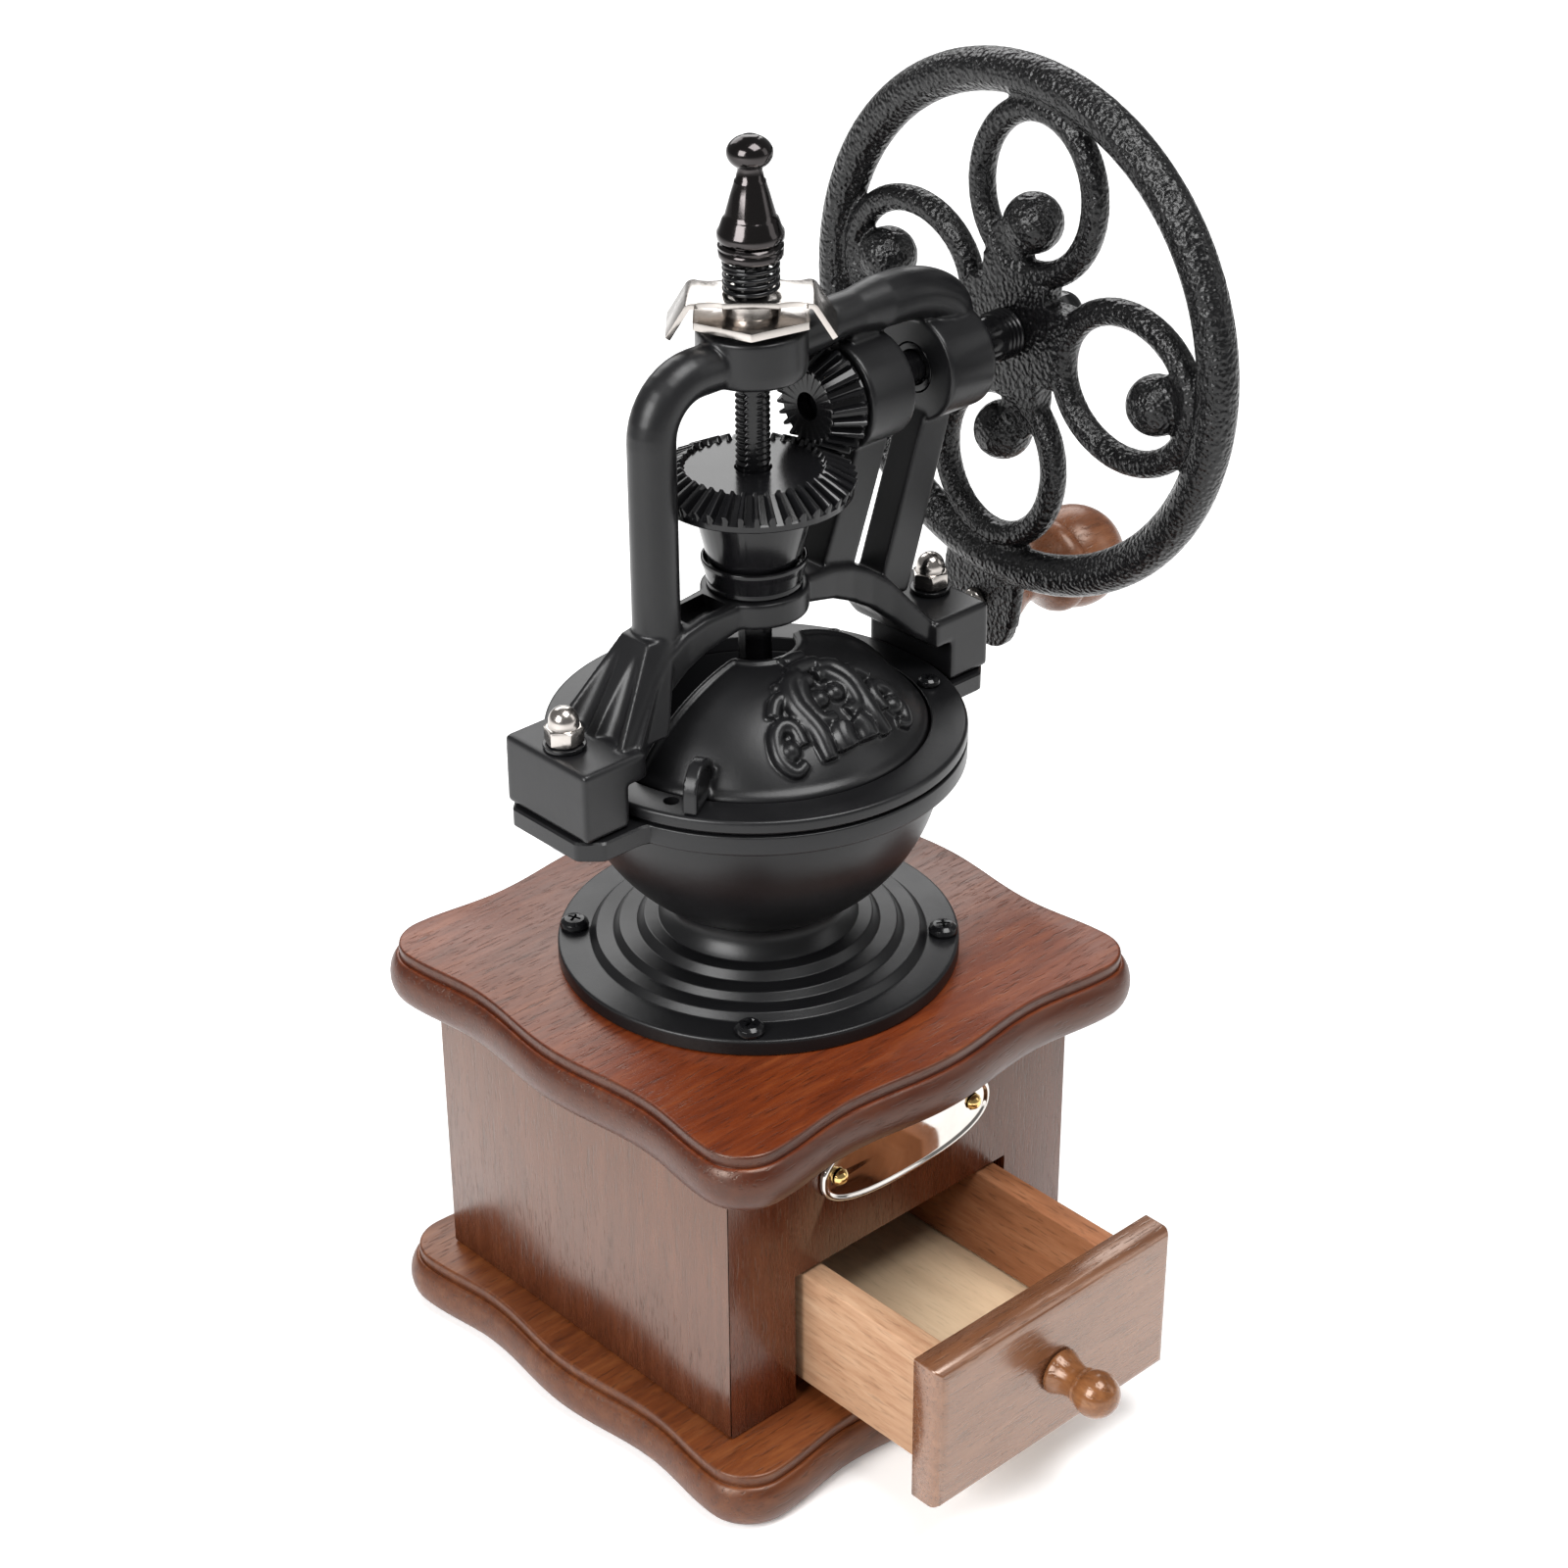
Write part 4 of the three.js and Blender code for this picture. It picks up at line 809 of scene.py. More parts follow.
def cap_nut(across, body_height, cap_radius, top):
    """Hexagon with chamfered corners under a domed cap."""
    corner = across / math.sqrt(3)
    obj = make("nut", prism(hexagon(across), 0, body_height))
    chamfer = [(0, 0), (corner - 0.55, 0), (corner + 0.15, 0.45), (corner + 0.15, body_height - 0.5),
               (corner - 0.85, body_height), (0, body_height)]
    combined(obj, [lathe(chamfer, 96)], "INTERSECT")
    foot = [(0, body_height - 1), (cap_radius + 0.15, body_height - 1),
            (cap_radius + 0.1, body_height + 0.25), (cap_radius, body_height + 0.5)]
    dome = foot + arc(0, top - cap_radius, cap_radius, 0, 86, 18) + [(0, top)]
    return fused(obj, lathe(dome, 64))


def frame_fasteners():
    stud = lathe([(0, 160), (3.7, 160), (4, 160.3), (4, 163), (2.4, 163), (2.4, 192), (0, 192)], 48)
    washer_bottom = BLOCK_TOP + GAP
    washer_top = washer_bottom + 1
    for name, side in (("left", -1), ("right", 1)):
        x = side * STUD_X
        piece(make("frame_stud_turned_" + name, moved(stud, x)), STEEL, "grinder_body", "frame_stud_" + name)
        disc = pipe(STUD_HOLE, 5, washer_bottom, washer_top)
        washer = make("stud_washer_turned_" + name, moved(disc, x))
        piece(washer, GLOSS_BLACK, "grinder_body", "stud_washer_" + name)
        nut = cut(cap_nut(8, 4, 3.5, 8.7), rod(STUD_HOLE, -1, 5.0))
        nut.name = "cap_nut_domed_" + name
        placed(nut, x, 0, washer_top + GAP, "Z", 20.05 * side)
        bevel(nut, 0.12, 2, 30)
        piece(nut, NICKEL, "grinder_body", "cap_nut_" + name)


# ---- hopper, lid ring and hatch


def ear():
    """The flat ear that the right clamp block stands on."""
    outline = rounded([(40, -24, 0), (48, -15.8, 6), (60.5, -15.8), (65.3, -11.3), (65.3, 11.3), (60.5, 15.8),
                       (48, 15.8, 6), (40, 24, 0)], 2.2, closed=True)
    edge = [(0.5, 163.4), (0.0, 163.9), (0.0, 167.9), (0.5, FLANGE_TOP)]
    middle = np.array([50.0, 0.0])
    return skin([[(*(middle + (np.array(p) - middle) * (1 - inset / 16)), z) for p in outline]
                 for inset, z in edge])


def lid_holes(radius, sides, angles):
    return [moved(rod(radius, 160, 180, sides), *polar(LID_SCREW_REACH, angle)) for angle in angles]


def hopper():
    """The stepped foot, neck, bowl and flange in one profile, with an ear on each side."""
    throat_angle = -math.degrees(math.acos(THROAT / BOWL_INSIDE))
    steps = [(41.5, 0), (39.9, 1.9), (35.8, 1.9), (34.2, 3.8), (29.9, 3.8), (28.1, 6), (24.6, 6), (22.2, 8.4)]
    profile = rounded([(THROAT, 129.5, 0.5), (20.5, 126, 0.3), (20.5, DECK, 0.3), (49.5, DECK, 0.3),
                       (49.5, FOOT_TOP, 0.9)] + [(r, FOOT_TOP + rise, 0.7) for r, rise in steps], 0.5, 5)
    profile += [(21.2, 124.5), (21.6, 125.6)] + arc(0, BOWL_CENTRE, 45, -60, -3, 40)
    profile += rounded([(45, 163.2, 0.5), (FLANGE_RADIUS, 163.4, 0.8), (FLANGE_RADIUS, FLANGE_TOP, 0.5),
                        (BOWL_INSIDE, FLANGE_TOP, 0.5), (BOWL_INSIDE, 166, 0)], 0.6)
    profile += arc(0, BOWL_CENTRE, BOWL_INSIDE, 0, throat_angle, 36)
    obj = make("hopper_bowl_casting", lathe(profile, 144))
    fused(obj, ear(), mirrored(ear()))
    hollow = [(0, 120), (THROAT, 120), (THROAT, 129.5)]
    hollow += arc(0, BOWL_CENTRE, BOWL_INSIDE, throat_angle, 0, 36) + [(BOWL_INSIDE, 175), (0, 175)]
    cut(obj, lathe(hollow, 144),
        *[moved(rod(2, 100, 120, 24), *polar(FOOT_SCREW_REACH, angle)) for _, angle in FOOT_SCREWS],
        *lid_holes(1.6, 24, [angle for _, angle in LID_SCREWS]),
        *[moved(rod(STUD_HOLE, 160, 175), x) for x in (STUD_X, -STUD_X)])
    piece(obj, SATIN_BLACK, "grinder_body", "hopper_bowl", angle=38)


def lid_ring():
    inner = 41.6
    profile = rounded([(inner, RING_BOTTOM), (49.6, RING_BOTTOM), (FLANGE_RADIUS, 169.6),
                       (FLANGE_RADIUS, RING_TOP, 1.1), (inner, RING_TOP, 0.4)], 0.3, 5, closed=True)
    obj = make("lid_ring_casting", lathe(profile, 192))
    flat = block(49.4, 70, -15.3, 15.3, 160, 180)
    angles = [angle for _, angle in LID_SCREWS] + [EMPTY_HOLE]
    cut(obj, *lid_holes(1.9, 32, angles), flat, mirrored(flat))
    piece(obj, SATIN_BLACK, "grinder_body", "lid_ring", angle=38)


def on_dome(angle, r, lift=0.0):
    return (*polar(r, angle), DOME_CENTRE + math.sqrt((DOME_RADIUS + lift) ** 2 - r * r))


def relief(points, radius, taper):
    """A ridge on the dome, thinner at its ends."""
    path = smooth_path([on_dome(a, r, 0.35) for a, r in points], 8)
    n = len(path) - 1
    radii = [1.12 * radius * (taper + (1 - taper) * math.sin(math.pi * min(1, (0.12 + i / n * 0.88))) ** 0.6)
             for i in range(n + 1)]
    return tube(path, radii, 14)


def scroll_crest(middle):
    """A plain crest: two bars, a pair of nested lobes and a scroll with a ball on each side."""
    shapes = [relief([(middle - 13, 13.4), (middle, 12.8), (middle + 13, 13.4)], 1.7, 0.9),
              relief([(middle - 15, 16.8), (middle, 16.0), (middle + 15, 16.8)], 2.1, 0.9)]
    ridges = (([(2.5, 19.5), (11, 20), (15, 24.5), (11, 29), (3.5, 29.5)], 2.0, 0.8),
              ([(3.5, 31), (5.5, 33), (5, 35.5)], 2.9, 0.9),
              ([(9, 17.5), (20, 20), (20.5, 25), (15, 31), (14, 36.3)], 2.4, 0.7),
              ([(23, 33), (25, 29.5), (30, 28.6), (34, 31), (33, 35), (28, 37.2), (23.5, 36)], 1.7, 0.6),
              ([(24, 22), (31, 23.5), (34, 27)], 1.7, 0.8))
    beads = ((5.5, 24.5, 2.5), (29, 33.4, 2.6), (27, 19.5, 1.7))
    for side in (-1, 1):
        for points, radius, taper in ridges:
            shapes.append(relief([(middle + side * a, r) for a, r in points], radius, taper))
        shapes += [ball(radius, *on_dome(middle + side * a, r), 24) for a, r, radius in beads]
    return shapes


def dome_edge():
    """The thin lip along the cut edge of the hatch and round its notch."""
    notch = tube([on_dome(a, 11.0, -0.1) for a in range(200, 341, 5)], 0.8, 10)
    lips = [notch]
    for x0, x1 in ((-39.5, -10.4), (10.4, 39.5)):
        line = [(x, -3.9, on_dome(0, math.hypot(x, 3.9))[2]) for x in np.linspace(x0, x1, 24)]
        lips.append(tube(line, 0.85, 10))
    return lips


def thumb_fin():
    """An upright tab with a round top and a sunk face, on the edge of the hatch."""
    x0, z0 = 42.8, 176.4
    outline = [(36, RING_TOP + GAP), (49.6, RING_TOP + GAP)] + arc(x0, z0, 6.8, 0, 180, 24)
    sunk = [(x0 + 0.7 * (x - x0), z0 + 0.7 * (z - z0)) for x, z in outline]
    web, rim = upright(outline, 1.0), upright(outline, 1.7)
    framed = shape_of(cut(make("fin", rim), *[moved(upright(sunk, 1.0), 0, y) for y in (1.9, -1.9)]))
    return [turned(shape, "Z", -150) for shape in (web, framed)]


def dome_hatch():
    """A little more than half a dome, with a foot that runs inside the lid ring."""
    inner = DOME_RADIUS - 2
    edge = math.degrees(math.asin((RING_TOP + 1.6 - DOME_CENTRE) / DOME_RADIUS))
    outside = arc(0, DOME_CENTRE, DOME_RADIUS, edge, 88, 40)[::-1]
    inside = arc(0, DOME_CENTRE, inner, 34.5, 88, 40) + [(0, DOME_CENTRE + inner)]
    foot = [(40.4, RING_TOP + 0.7), (41, RING_TOP - 0.1), (41, RING_BOTTOM + 0.2), (40.8, RING_BOTTOM),
            (36.8, RING_BOTTOM)]
    obj = make("dome_hatch_casting", lathe([(0, DOME_TOP)] + outside + foot + inside, 144))
    cut(obj, block(-60, 60, -3, 60, 150, 210), rod(9.6, 150, 210, 64))
    gathered(obj, *scroll_crest(-90), *thumb_fin(), *dome_edge())
    cast(obj, 0.4, 3)
    cut(obj, lathe([(0, 150), (36.6, 150), (36.6, RING_BOTTOM)] + inside, 144))
    piece(obj, SATIN_BLACK, "hatch", "dome_hatch", angle=60)


# ---- frame


def arch_bar(stations):
    """The arch between collar and clamp block, from stations of x, lower edge, upper edge and half depth."""
    xs = [s[0] for s in stations]
    loops = []
    for x in np.linspace(xs[0], xs[-1], 40):
        low, high, half = (float(np.interp(x, xs, [s[k] for s in stations])) for k in (1, 2, 3))
        corners = [(-half, low), (half, low), (half, high), (-half, high)]
        loops.append([(x, y, z) for y, z in rounded(corners, 1.6, 4, closed=True)])
    return skin(loops)


def round_block(x0, x1, half, z0, z1, edge=1.1):
    """A block with round edges and corners, half as deep each way in Y."""
    corners = rounded([(x0, -half), (x1, -half), (x1, half), (x0, half)], edge, 4, closed=True)
    middle = np.array([(x0 + x1) / 2, 0.0])
    reach = np.array([(x1 - x0) / 2, half])
    levels = [(edge * (1 - c), z0 + edge * (1 + s)) for c, s in arc(0, 0, 1, -90, 0, 3)]
    levels += [(edge * (1 - c), z1 - edge * (1 - s)) for c, s in arc(0, 0, 1, 0, 90, 3)]
    return skin([[(*(middle + (np.array(p) - middle) * (reach - inset) / reach), z) for p in corners]
                 for inset, z in levels])


def strut(outline):
    return upright(rounded(outline, 1.5, 3, closed=True), 4.4)


def leg_and_left_arm():
    x, bend, arm_z = -30.2, 13.0, 264.9
    path = [(x, 0, 205), (x, 0, 226), (x, 0, arm_z - bend)]
    path += [(px, 0, pz) for px, pz in arc(x + bend, arm_z - bend, bend, 180, 90, 10)[1:]] + [(0, 0, arm_z)]
    return [tube(path, 5.6, 32), ball(5.6, x, 0, 205.5)]


def right_arm():
    """Slim and low by the hub, then a cone up to the thick part that bends down to the outer boss."""
    slim, thick = 5.15, 6.35
    inner = smooth_path([(0, 0, 265.2), (19, 0, 265.2), (24, 0, 266.3), (33, 0, 266.5)], 6)
    outer = smooth_path([(31, 0, 266.5), (41, 0, 266.5), (49, 0, 266), (56, 0, 263.9), (61.2, 0, 260.2),
                         (63, 0, 254)], 6)
    radii = [slim + (thick - slim) * min(1.0, k / 5) for k in range(len(outer))]
    return [tube(inner, slim, 28), tube(outer, radii, 28)]


def buttress():
    """The foot of the leg: a wedge down to the left block, with two channels between three ridges."""
    low, high = BLOCK_TOP - 1, 206.0
    circle = [math.pi / 12 * i for i in range(24)]
    wedge = hull([(-31.5 + 5.4 * math.cos(a), 5.4 * math.sin(a), high) for a in circle]
                 + [(-36.6, y, high) for y in (-4.6, 4.6)]
                 + [(x, y, low) for x in (-51.6, -37) for y in (-11.6, 11.6)])
    channels = []
    for side in (-1, 1):
        line = [(-38.2, 2.5 * side, high + 3), (-46.0, 4.2 * side, 197), (-55.4, 6.0 * side, low - 3)]
        channels.append(tube(smooth_path(line, 4), [2.3 + 2.4 * k / 8 for k in range(9)], 24))
    return [shape_of(cut(make("wedge", wedge), *channels))]


def boss(x0, x1):
    return along_x(lathe(rounded([(0, x0, 0), (13.2, x0), (13.2, x1), (0, x1, 0)], 0.8), 72))


def frame_yoke():
    """One casting: collar, top hub, leg, arms, arch, clamp blocks, and two bosses for the crank on struts."""
    arch = arch_bar([(8, COLLAR_BOTTOM, COLLAR_TOP, 7), (20, 198.6, 207.2, 6.3), (26, 195.8, 205.7, 6.2),
                     (32, 192.2, 202.6, 6.8), (37.4, 187.5, 198.4, 8.4), (42, 182.6, 192.4, 10.6),
                     (47, 179.2, BLOCK_TOP, 12.9)])
    right_half = [arch, round_block(46, 64.3, 14.3, 179, BLOCK_TOP),
                  round_block(51.4, 64.3, 14.3, FLANGE_TOP + GAP, 184, 0.9)]
    collar = [(0, COLLAR_BOTTOM, 0), (12.8, COLLAR_BOTTOM), (12.8, COLLAR_TOP), (0, COLLAR_TOP, 0)]
    hub = [(0, 260, 0), (12.3, 260, 1.6), (12.8, 263, 1), (12.8, FRAME_TOP, 0.7), (0, FRAME_TOP, 0)]
    shapes = [lathe(rounded(collar, 0.8), 72), lathe(rounded(hub, 0.8), 72),
              *leg_and_left_arm(), *right_arm(), *buttress(), *[boss(x0, x1) for _, x0, x1 in CRANK_BUSHES],
              block(28.5, 37.2, -3.1, 3.1, 255, 265), block(54, 64.6, -3.1, 3.1, 254, 261),
              strut([(31, 240), (39.3, 240), (39.3, 234.5), (27.7, 203), (17, 205)]),
              strut([(52, 240), (61.5, 240), (60, 234.5), (46, 191), (36.5, 195)]),
              *right_half, *[mirrored(shape) for shape in right_half]]
    obj = make("frame_yoke_casting", combine(*shapes))
    cast(obj, 0.45, 4)
    ends = ((-23.6, 203.4), (-12.6, 204.8))
    trough = hull([(x, y, z) for x, low in ends for z in (low, 212) for y in (-4, 4)])
    cut(obj, rod(SHAFT_RADIUS + 0.4, 190, 280), rod(7.2, 195, 205), trough,
        *[along_x(rod(BUSH_RADIUS + GAP, x0 - 1, x1 + 1)) for _, x0, x1 in CRANK_BUSHES],
        along_x(rod(CRANK_SHAFT + 1, 20, 70)),
        *[moved(rod(STUD_HOLE, 160, 190), x) for x in (STUD_X, -STUD_X)])
    piece(obj, SATIN_BLACK, "grinder_body", "frame_yoke", angle=50)


def frame_sleeves():
    """The bushes that the crank turns in, and the flared ring that the big gear turns on."""
    for name, x0, x1 in CRANK_BUSHES:
        sleeve = along_x(pipe(CRANK_HOLE, BUSH_RADIUS, x0, x1, 0.3))
        piece(make(name + "_sleeve", sleeve), GLOSS_BLACK, "grinder_body", name)
    low = COLLAR_TOP + GAP
    ring = rounded([(SHAFT_HOLE, low), (11.4, low), (11.2, 209.4), (12.0, 212.6), (12.5, 214.2),
                    (12.5, 215.0), (12.0, 215.4), (11.6, 214.8), (11.3, 212.2), (SHAFT_HOLE, 212.2)],
                   0.3, closed=True)
    piece(make("gear_thrust_ring_turned", lathe(ring)), GLOSS_BLACK, "grinder_body", "gear_thrust_ring")


# ---- bevel gears


def bevel_gear(teeth, mates, radius, bore, back, shift, hub=()):
    """Straight bevel gear about Z, apex at the origin, teeth toward +Z; hub is the rest of its profile."""
    cone = math.atan2(teeth, mates)
    reach = radius / math.sin(cone)
    pitch = 2 * math.pi / teeth
    size = 2 * radius / teeth
    tip, root = 0.82 * size, 1.15 * size
    flank = [(-0.30, -root), (-0.262, -0.62 * root), (-0.19, 0.25 * tip), (-0.125, 0.86 * tip), (-0.09, tip),
             (0.09, tip), (0.125, 0.86 * tip), (0.19, 0.25 * tip), (0.262, -0.62 * root), (0.30, -root)]

    def station(share, shrink=0.0):
        loop = []
        for i in range(teeth):
            for turn, offset in flank:
                a = (i + shift + turn * (1 - shrink * 0.25)) * pitch
                offset = min(offset, tip - shrink * 0.35)
                r = (radius + offset * math.cos(cone)) * share
                loop.append((r * math.cos(a), r * math.sin(a),
                             (-radius / math.tan(cone) + offset * math.sin(cone)) * share))
        return loop

    end = (reach - TOOTH_LENGTH) / reach
    lip = 0.12 / reach
    outer, inner = station(1.0, 1.0), station(end, 1.0)
    toothed = [inner, station(end + lip * 2), station(1.0 - lip * 2), outer]

    def ring_at(r, z):
        return [(r * math.cos(a), r * math.sin(a), z) for a in (math.atan2(y, x) for x, y, _ in outer)]

    root_r = radius - root * math.cos(cone)
    root_z = -radius / math.tan(cone) - root * math.sin(cone)
    loops = [ring_at(bore, root_z * end), ring_at(root_r * end - 0.25, root_z * end)] + toothed
    behind = [(root_r + 0.35, root_z - 0.25), (root_r + 0.2, back + 0.3), (root_r - 0.1, back), *hub]
    loops += [ring_at(r, z) for r, z in behind] + [ring_at(bore, behind[-1][1])]
    return skin(loops, closed=True)


def gears():
    back, low = -PINION_RADIUS - 3.1, 213 - CRANK_Z
    hub = [(16.6, back - 0.2), (16.1, back - 1.0), (14.1, low + 15), (13.9, low + 13.9), (11.2, low + 2.4),
           (10.7, low + 1.2), (10.4, low + 0.4), (10.0, low)]
    big = bevel_gear(GEAR_TEETH, PINION_TEETH, GEAR_RADIUS, SHAFT_HOLE, back, 0.5, hub)
    small = bevel_gear(PINION_TEETH, GEAR_TEETH, PINION_RADIUS, 3.4, -GEAR_RADIUS - 1.5, 0.0)
    for node_name, shape, body in (("driven_gear", big, "shaft_assembly"),
                                   ("drive_gear", turned(small, "Y", -90), "crank")):
        piece(make(node_name + "_toothed", moved(shape, z=CRANK_Z)), GLOSS_BLACK, body, node_name, angle=28)


# ---- grinding shaft, burrs and adjuster


def shaft():
    flats = height_rod(118.9, 238, 12, 96, lambda angle, _: to_flats(angle, SHAFT_RADIUS - 0.1, 3.4))
    for name, shape in (("body", flats), ("thread", thread(SHAFT_RADIUS, 237.6, 287, 1.5, 0.5, 72, 3.6)),
                        ("top_thread", thread(3.0, 287, 302, 1.0, 0.35)),
                        ("tip_thread", thread(2.4, 112, 119.2, 0.8, 0.3))):
        stretch = make("grinding_shaft_" + name, shape)
        piece(stretch, GLOSS_BLACK, "shaft_assembly", "grinding_shaft", angle=50)


def burrs():
    """The turning burr with twelve slanting cuts, the fixed ring round it, and its washer and nut."""
    body = [(SHAFT_HOLE, 119.4), (14.8, 119.4), (15.2, 119.8), (15.2, 121.5), (8.5, 133), (6.5, 134.5),
            (SHAFT_HOLE, 134.5)]
    slot = turned(turned(block(-0.8, 0.8, -1.3, 1.3, -9, 9), "X", -31), "Y", 28)
    burr = make("inner_burr_cut", lathe(body))
    cut(burr, *[turned(moved(slot, 0, -12.1, 127.5), "Z", i * 30) for i in range(12)])
    piece(burr, STEEL, "shaft_assembly", "inner_burr", angle=25)
    ring = lathe([(15.9, DECK), (20.2, DECK), (20.2, 125.6), (13.2, 125.6), (15.9, 120.4)])
    piece(make("outer_burr_cut", ring), STEEL, "grinder_body", "outer_burr", angle=25)
    piece(make("burr_washer_turned", pipe(2.7, 7.5, 117.4, 118.8)), STEEL, "shaft_assembly", "burr_washer")
    nut = bevel(cut(make("burr_nut_hex", prism(hexagon(8), 112.8, 117.1)), rod(2.7, 100, 130)), 0.25)
    piece(nut, STEEL, "shaft_assembly", "burr_nut")


def adjuster():
    washer_bottom = FRAME_TOP + GAP
    washer_top = washer_bottom + 1.1
    nut_bottom = washer_top + GAP
    corners = rounded([polar(15.0, 60 * i) for i in range(6)], 0.6, 3, closed=True)
    plate = prism(corners, nut_bottom, nut_bottom + 1.8)
    nut = make("adjuster_nut_plate", turned(plate, "Z", -132.6))
    fused(nut, rod(6.6, 274, 277.9, 64, 0.2))
    cut(nut, rod(SHAFT_HOLE, 260, 290))
    piece(bevel(nut, 0.28, 3), NICKEL, "adjuster", "adjuster_nut")
    washer = make("adjuster_washer_turned", pipe(SHAFT_HOLE, 9, washer_bottom, washer_top))
    piece(washer, GLOSS_BLACK, "shaft_assembly", "adjuster_washer")


def lock_plate():
    """A strip bent down at both ends, with a notch on each side of both bends."""
    thick, half = 1.3, 7.6
    line = rounded([(-18.6, 271.25, 0), (-13.9, 278.85, 1.6), (13.9, 278.85, 1.6), (18.6, 271.25, 0)], 1.6, 8)
    path = [np.array([x, 0, z]) for x, z in line]
    loops = []
    for i, p in enumerate(path):
        along = path[min(i + 1, len(path) - 1)] - path[max(i - 1, 0)]
        along /= np.linalg.norm(along)
        across = np.array([-along[2], 0, along[0]]) * thick / 2
        loops.append([p + side * across + [0, y * half, 0]
                      for side, y in ((-1, -1), (-1, 1), (1, 1), (1, -1))])
    plate = make("lock_plate_bent", skin(loops))
    disc = rod(3.6, 270, 285, 48)
    cut(plate, *[(disc[0] * [1, 0.5, 1] + [x, y, 0], disc[1]) for y in (-8.4, 8.4) for x in (-9.4, 9.4)],
        rod(SHAFT_HOLE, 260, 290))
    placed(plate, 0, 0, 0, "Z", -42.6)
    piece(bevel(plate, 0.25, 3, 40), NICKEL, "lock", "lock_plate")


def spring_and_finial():
    coil = make("lock_spring_coil", spiral(6.0, 280.45, 286.35, 4.6, 0.55))
    piece(coil, GLOSS_BLACK, "shaft_assembly", "lock_spring")
    skirt = [(0, 302.4), (3.4, 302.4), (3.4, 287.3), (6.3, 287.3), (6.9, 287.6), (7.3, 288.1)]
    grooves = [(7.35, 289.4), (7.1, 289.7), (7.35, 290.0), (7.45, 290.5), (7.1, 291.0), (6.7, 291.3),
               (7.1, 291.6)]
    cone = [(7.5, 292.0), (7.6, 292.9), (7.5, 293.8), (7.0, 294.6), (6.4, 296.4), (6.05, 296.9),
            (5.75, 297.3), (5.6, 298), (4.3, 302.6), (3.6, 304.9), (3.55, 305.3), (3.15, 305.7),
            (3.0, 306.8), (2.75, 307.6)]
    knob = [(5.2 * c, 311.5 + 3.9 * s) for c, s in arc(0, 0, 1, -56, 68, 24)] + [(1.7, 315.3), (0, 315.3)]
    finial = make("finial_nut_turned", lathe(skirt + grooves + cone + knob))
    piece(finial, GUNMETAL, "shaft_assembly", "finial_nut", angle=45)


# ---- crank and wheel


def ellipse(ry, rz, middle_z, count=96):
    return [(0, ry * math.cos(a), middle_z + rz * math.sin(a))
            for a in (2 * math.pi * i / count for i in range(count))]


def web(corners, half):
    """A flat filling in the wheel's plane, from its corners in Y and Z."""
    return hull([(x, y, z) for x in (-half, half) for y, z in corners])


def wheel_scroll(angle, near_hub):
    """One oval scroll with its ball, on the hub side or the rim side, webbed to the ball and to the rim."""
    at = 28.0 if near_hub else 45.6
    to_ball = [(0, 14), (0, at), (13, 20), (9, 26)] if near_hub else [(0, 58), (0, at), (12, 52), (8, 46)]
    wide, narrow = (14, 9) if near_hub else (12, 7)
    to_rim = [(-wide, 60), (wide, 60), (narrow, 55.5), (-narrow, 55.5)]
    shapes = [tube(ellipse(18.2, 20.4, 36), 3.4, 18, closed=True, up=(1, 0, 0)), ball(7.5, 0, 0, at),
              web(to_ball, 2.6), web(to_rim, 2.4)]
    return [turned(shape, "X", angle) for shape in shapes]


def hammered(obj, amount, scale):
    """Pushes the surface in and out a little, as hammered enamel lies."""
    mesh = obj.data
    count = len(mesh.vertices)
    points, normals = np.empty(count * 3), np.empty(count * 3)
    mesh.vertices.foreach_get("co", points)
    mesh.vertex_normals.foreach_get("vector", normals)
    points, normals = points.reshape(-1, 3), normals.reshape(-1, 3)
    push = np.array([noise.noise(Vector(p * scale)) + 0.5 * noise.noise(Vector(p * scale * 2.3))
                     for p in points])
    mesh.vertices.foreach_set("co", (points + normals * (push * amount * MM)[:, None]).ravel())
    mesh.update()


def crank_wheel():
    rims = [tube(ellipse(r, r, 0, 144), thick, sides, closed=True, up=(1, 0, 0))
            for r, thick, sides in ((63.2, 5.0, 20), (60.6, 3.1, 16))]
    corners = ((-10, 0), (10, 0), (11.5, 17), (-9.5, 15))
    cross = hull([(x, y, z) for x in (-3.6, 3.3) for y, z in corners])
    end = rounded([(-12.4, -58, 0), (12.4, -58, 0), (12.4, -88.4), (-12.4, -88.4)], 8.6, 10, closed=True)
    knob_arm = [skin([[(x, y, z) for y, z in end] for x in (-1.2, 2.2)]),
                tube([(0.5, -11.6, -56), (0.5, -11.6, -80)], 1.9, 12)]
    hub = lathe(rounded([(0, -HUB_INSIDE, 0), (11, -HUB_INSIDE), (12, -2), (12, 6, 1), (9.4, HUB_OUTSIDE, 1),
                         (0, HUB_OUTSIDE, 0)], 0.8), 72)
    crosses = [turned(cross, "X", angle) for angle in (0, 90, 180, 270)]
    shapes = [*rims, *crosses, turned(hub, "Y", 90), *knob_arm]
    for angle, near_hub in ((0, True), (180, True), (90, False), (-90, False)):
        shapes += wheel_scroll(angle, near_hub)
    obj = make("crank_wheel_casting", in_wheel(combine(*shapes)))
    cast(obj, 0.5, 5)
    hammered(obj, 0.05, 900)
    bore = turned(rod(CRANK_HOLE, -20, 20), "Y", 90)
    cut(obj, in_wheel(bore), on_knob_axle(rod(KNOB_AXLE, -20, 20)))
    piece(obj, HAMMERED, "crank", "crank_wheel", angle=70)


